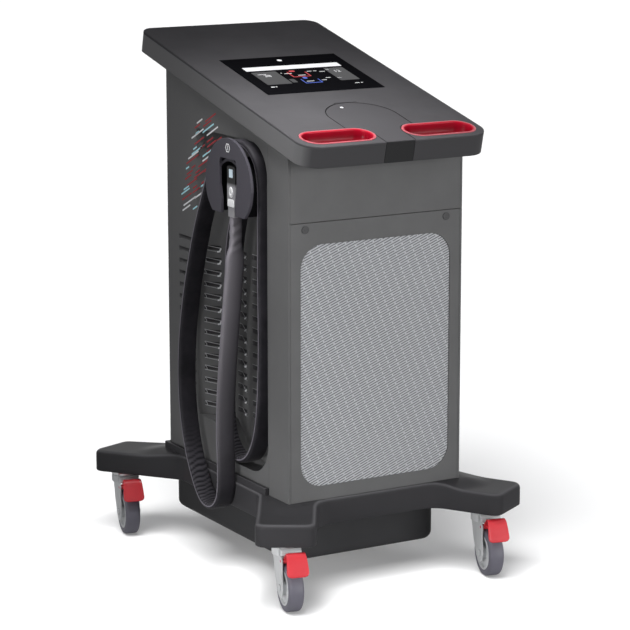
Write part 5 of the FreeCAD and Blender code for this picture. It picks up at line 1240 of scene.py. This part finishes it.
makeLouvres(louvreValues)
makeShadeSheets(louvreValues)
print("louvres made")

# printed dashes on the side panels

dashValues = {"lean": 25.5, "row": 11.5, "tall": 3.4, "thick": 0.12, "low": 735, "high": 945,
              "seed": 11, "face": 206, "long": (16, 66), "gap": (7, 16), "rear": (205, 90, 14),
              "field": (62, 78), "shares": [0.5, 0.26, 0.24]}
dashPaints = {"dashRed": (0.34, 0.006, 0.016), "dashWhite": (0.90, 0.90, 0.92),
              "dashBlue": (0.50, 0.86, 0.95)}
dashMaterials = {name: grained(name, colour, 0.4, 900, 0.04, 0.0002, 0.3, 0.04)
                 for name, colour in dashPaints.items()}


# rows of round-ended dashes, all leaning forwards and up, in a band between two slanted
# lines; lengths, gaps and colours are drawn from a seeded generator
def makeDashes(v):
    draw = np.random.default_rng(v["seed"])
    lean, r, tall = math.radians(v["lean"]), v["tall"] / 2, v["high"] - v["low"]
    c, s = math.cos(lean), math.sin(lean)
    names = list(dashPaints)
    found = {name: [] for name in names}
    start, fall, jitter = v["rear"]
    for row in range(int(tall / v["row"])):
        up = row * v["row"]
        rear = start - fall * (up / tall) + draw.uniform(-jitter, jitter)
        front = rear - v["field"][0] - v["field"][1] * math.sin(up / tall * math.pi) ** 1.3
        at = rear
        while at > front:
            long = draw.uniform(*v["long"])
            name = names[draw.choice(3, p=v["shares"])]
            found[name].append((at, v["low"] + up + (rear - at) * math.tan(lean) * 0.42, long))
            at -= long + draw.uniform(*v["gap"])
    for side, sideName in ((-1, "left"), (1, "right")):
        for name in names:
            parts = []
            for y, z, long in found[name]:
                pill = roundedBox(0, -r, long, r, r - 0.01, 4)
                pill = np.stack([y - (pill[:, 0] * c - pill[:, 1] * s),
                                 z + pill[:, 0] * s + pill[:, 1] * c], -1)
                parts.append(softSlab(pill[::-1], 0.02, v["thick"], 0.03,
                                      onSide(v["face"], side), 1))
            makePiece(name + "." + sideName, parts, dashMaterials[name], angle=30)


makeDashes(dashValues)
print("side dashes made")

# hanger badges, connector trim and lid stud

trimValues = {"badge": (-95, 908, 10), "face": 250, "plugOut": 246, "plugY": -101,
              "plugFoot": 767, "eye": 51, "eyeShape": (0.72, 1.05, 1), "plugThick": 1.8,
              "plugBlock": [(-14, 21), (14, 21), (11.5, 37), (-11.5, 37)],
              "stud": (-22, 200, 0), "badgeWide": 2.2, "badgeEdge": 0.2, "badgeThick": 0.4,
              "eyeSection": [(3.4, 0.0), (3.4, 1.4), (4.4, 2.0), (8.6, 2.0), (10.4, 1.2),
                             (10.8, 0.0)],
              "studSection": [(0.3, -0.5), (3.6, -0.5), (3.6, 0.1), (2.9, 0.5), (0.3, 0.7)]}


def makeTrim(v):
    y0, z0, r = v["badge"]
    inner, edge, thick = r - v["badgeWide"], v["badgeEdge"], v["badgeThick"]
    ring = [(inner, 0.02), (inner, thick - 0.1), (inner + edge, thick), (r - edge, thick),
            (r, thick - 0.1), (r, 0.02)]
    for side, name, text in ((-1, "left", "1"), (1, "right", "2")):
        onFace = onSide(v["face"], side)
        points, faces = figureMesh(text, r * 1.35, thick, 0.35)
        figure = onFace(points * (side, 1, 1) + (y0, z0, 0.22))
        makePiece("badge." + name, [turned(ring, moved(onFace, (y0, z0, 0)), 6),
                                    (figure, faces)], paints["white"])

    onPlug, plug, foot = onSide(v["plugOut"], -1), v["plugY"], v["plugFoot"]
    block = roundedOutline(np.array(v["plugBlock"]) + (plug, foot), [3, 3, 4, 4], 5)
    eye = moved(onPlug, (plug, foot + v["eye"], 0), v["eyeShape"])
    makePiece("connectorTrim", [softSlab(block, 0, v["plugThick"], v["plugThick"] / 2, onPlug),
                                turned(v["eyeSection"], eye, 40)], paints["white"])
    makePiece("lidStud", [turned(v["studSection"], moved(onConsole, v["stud"]), 24)],
              paints["white"], "filler_lid")


makeTrim(trimValues)
print("trim made")
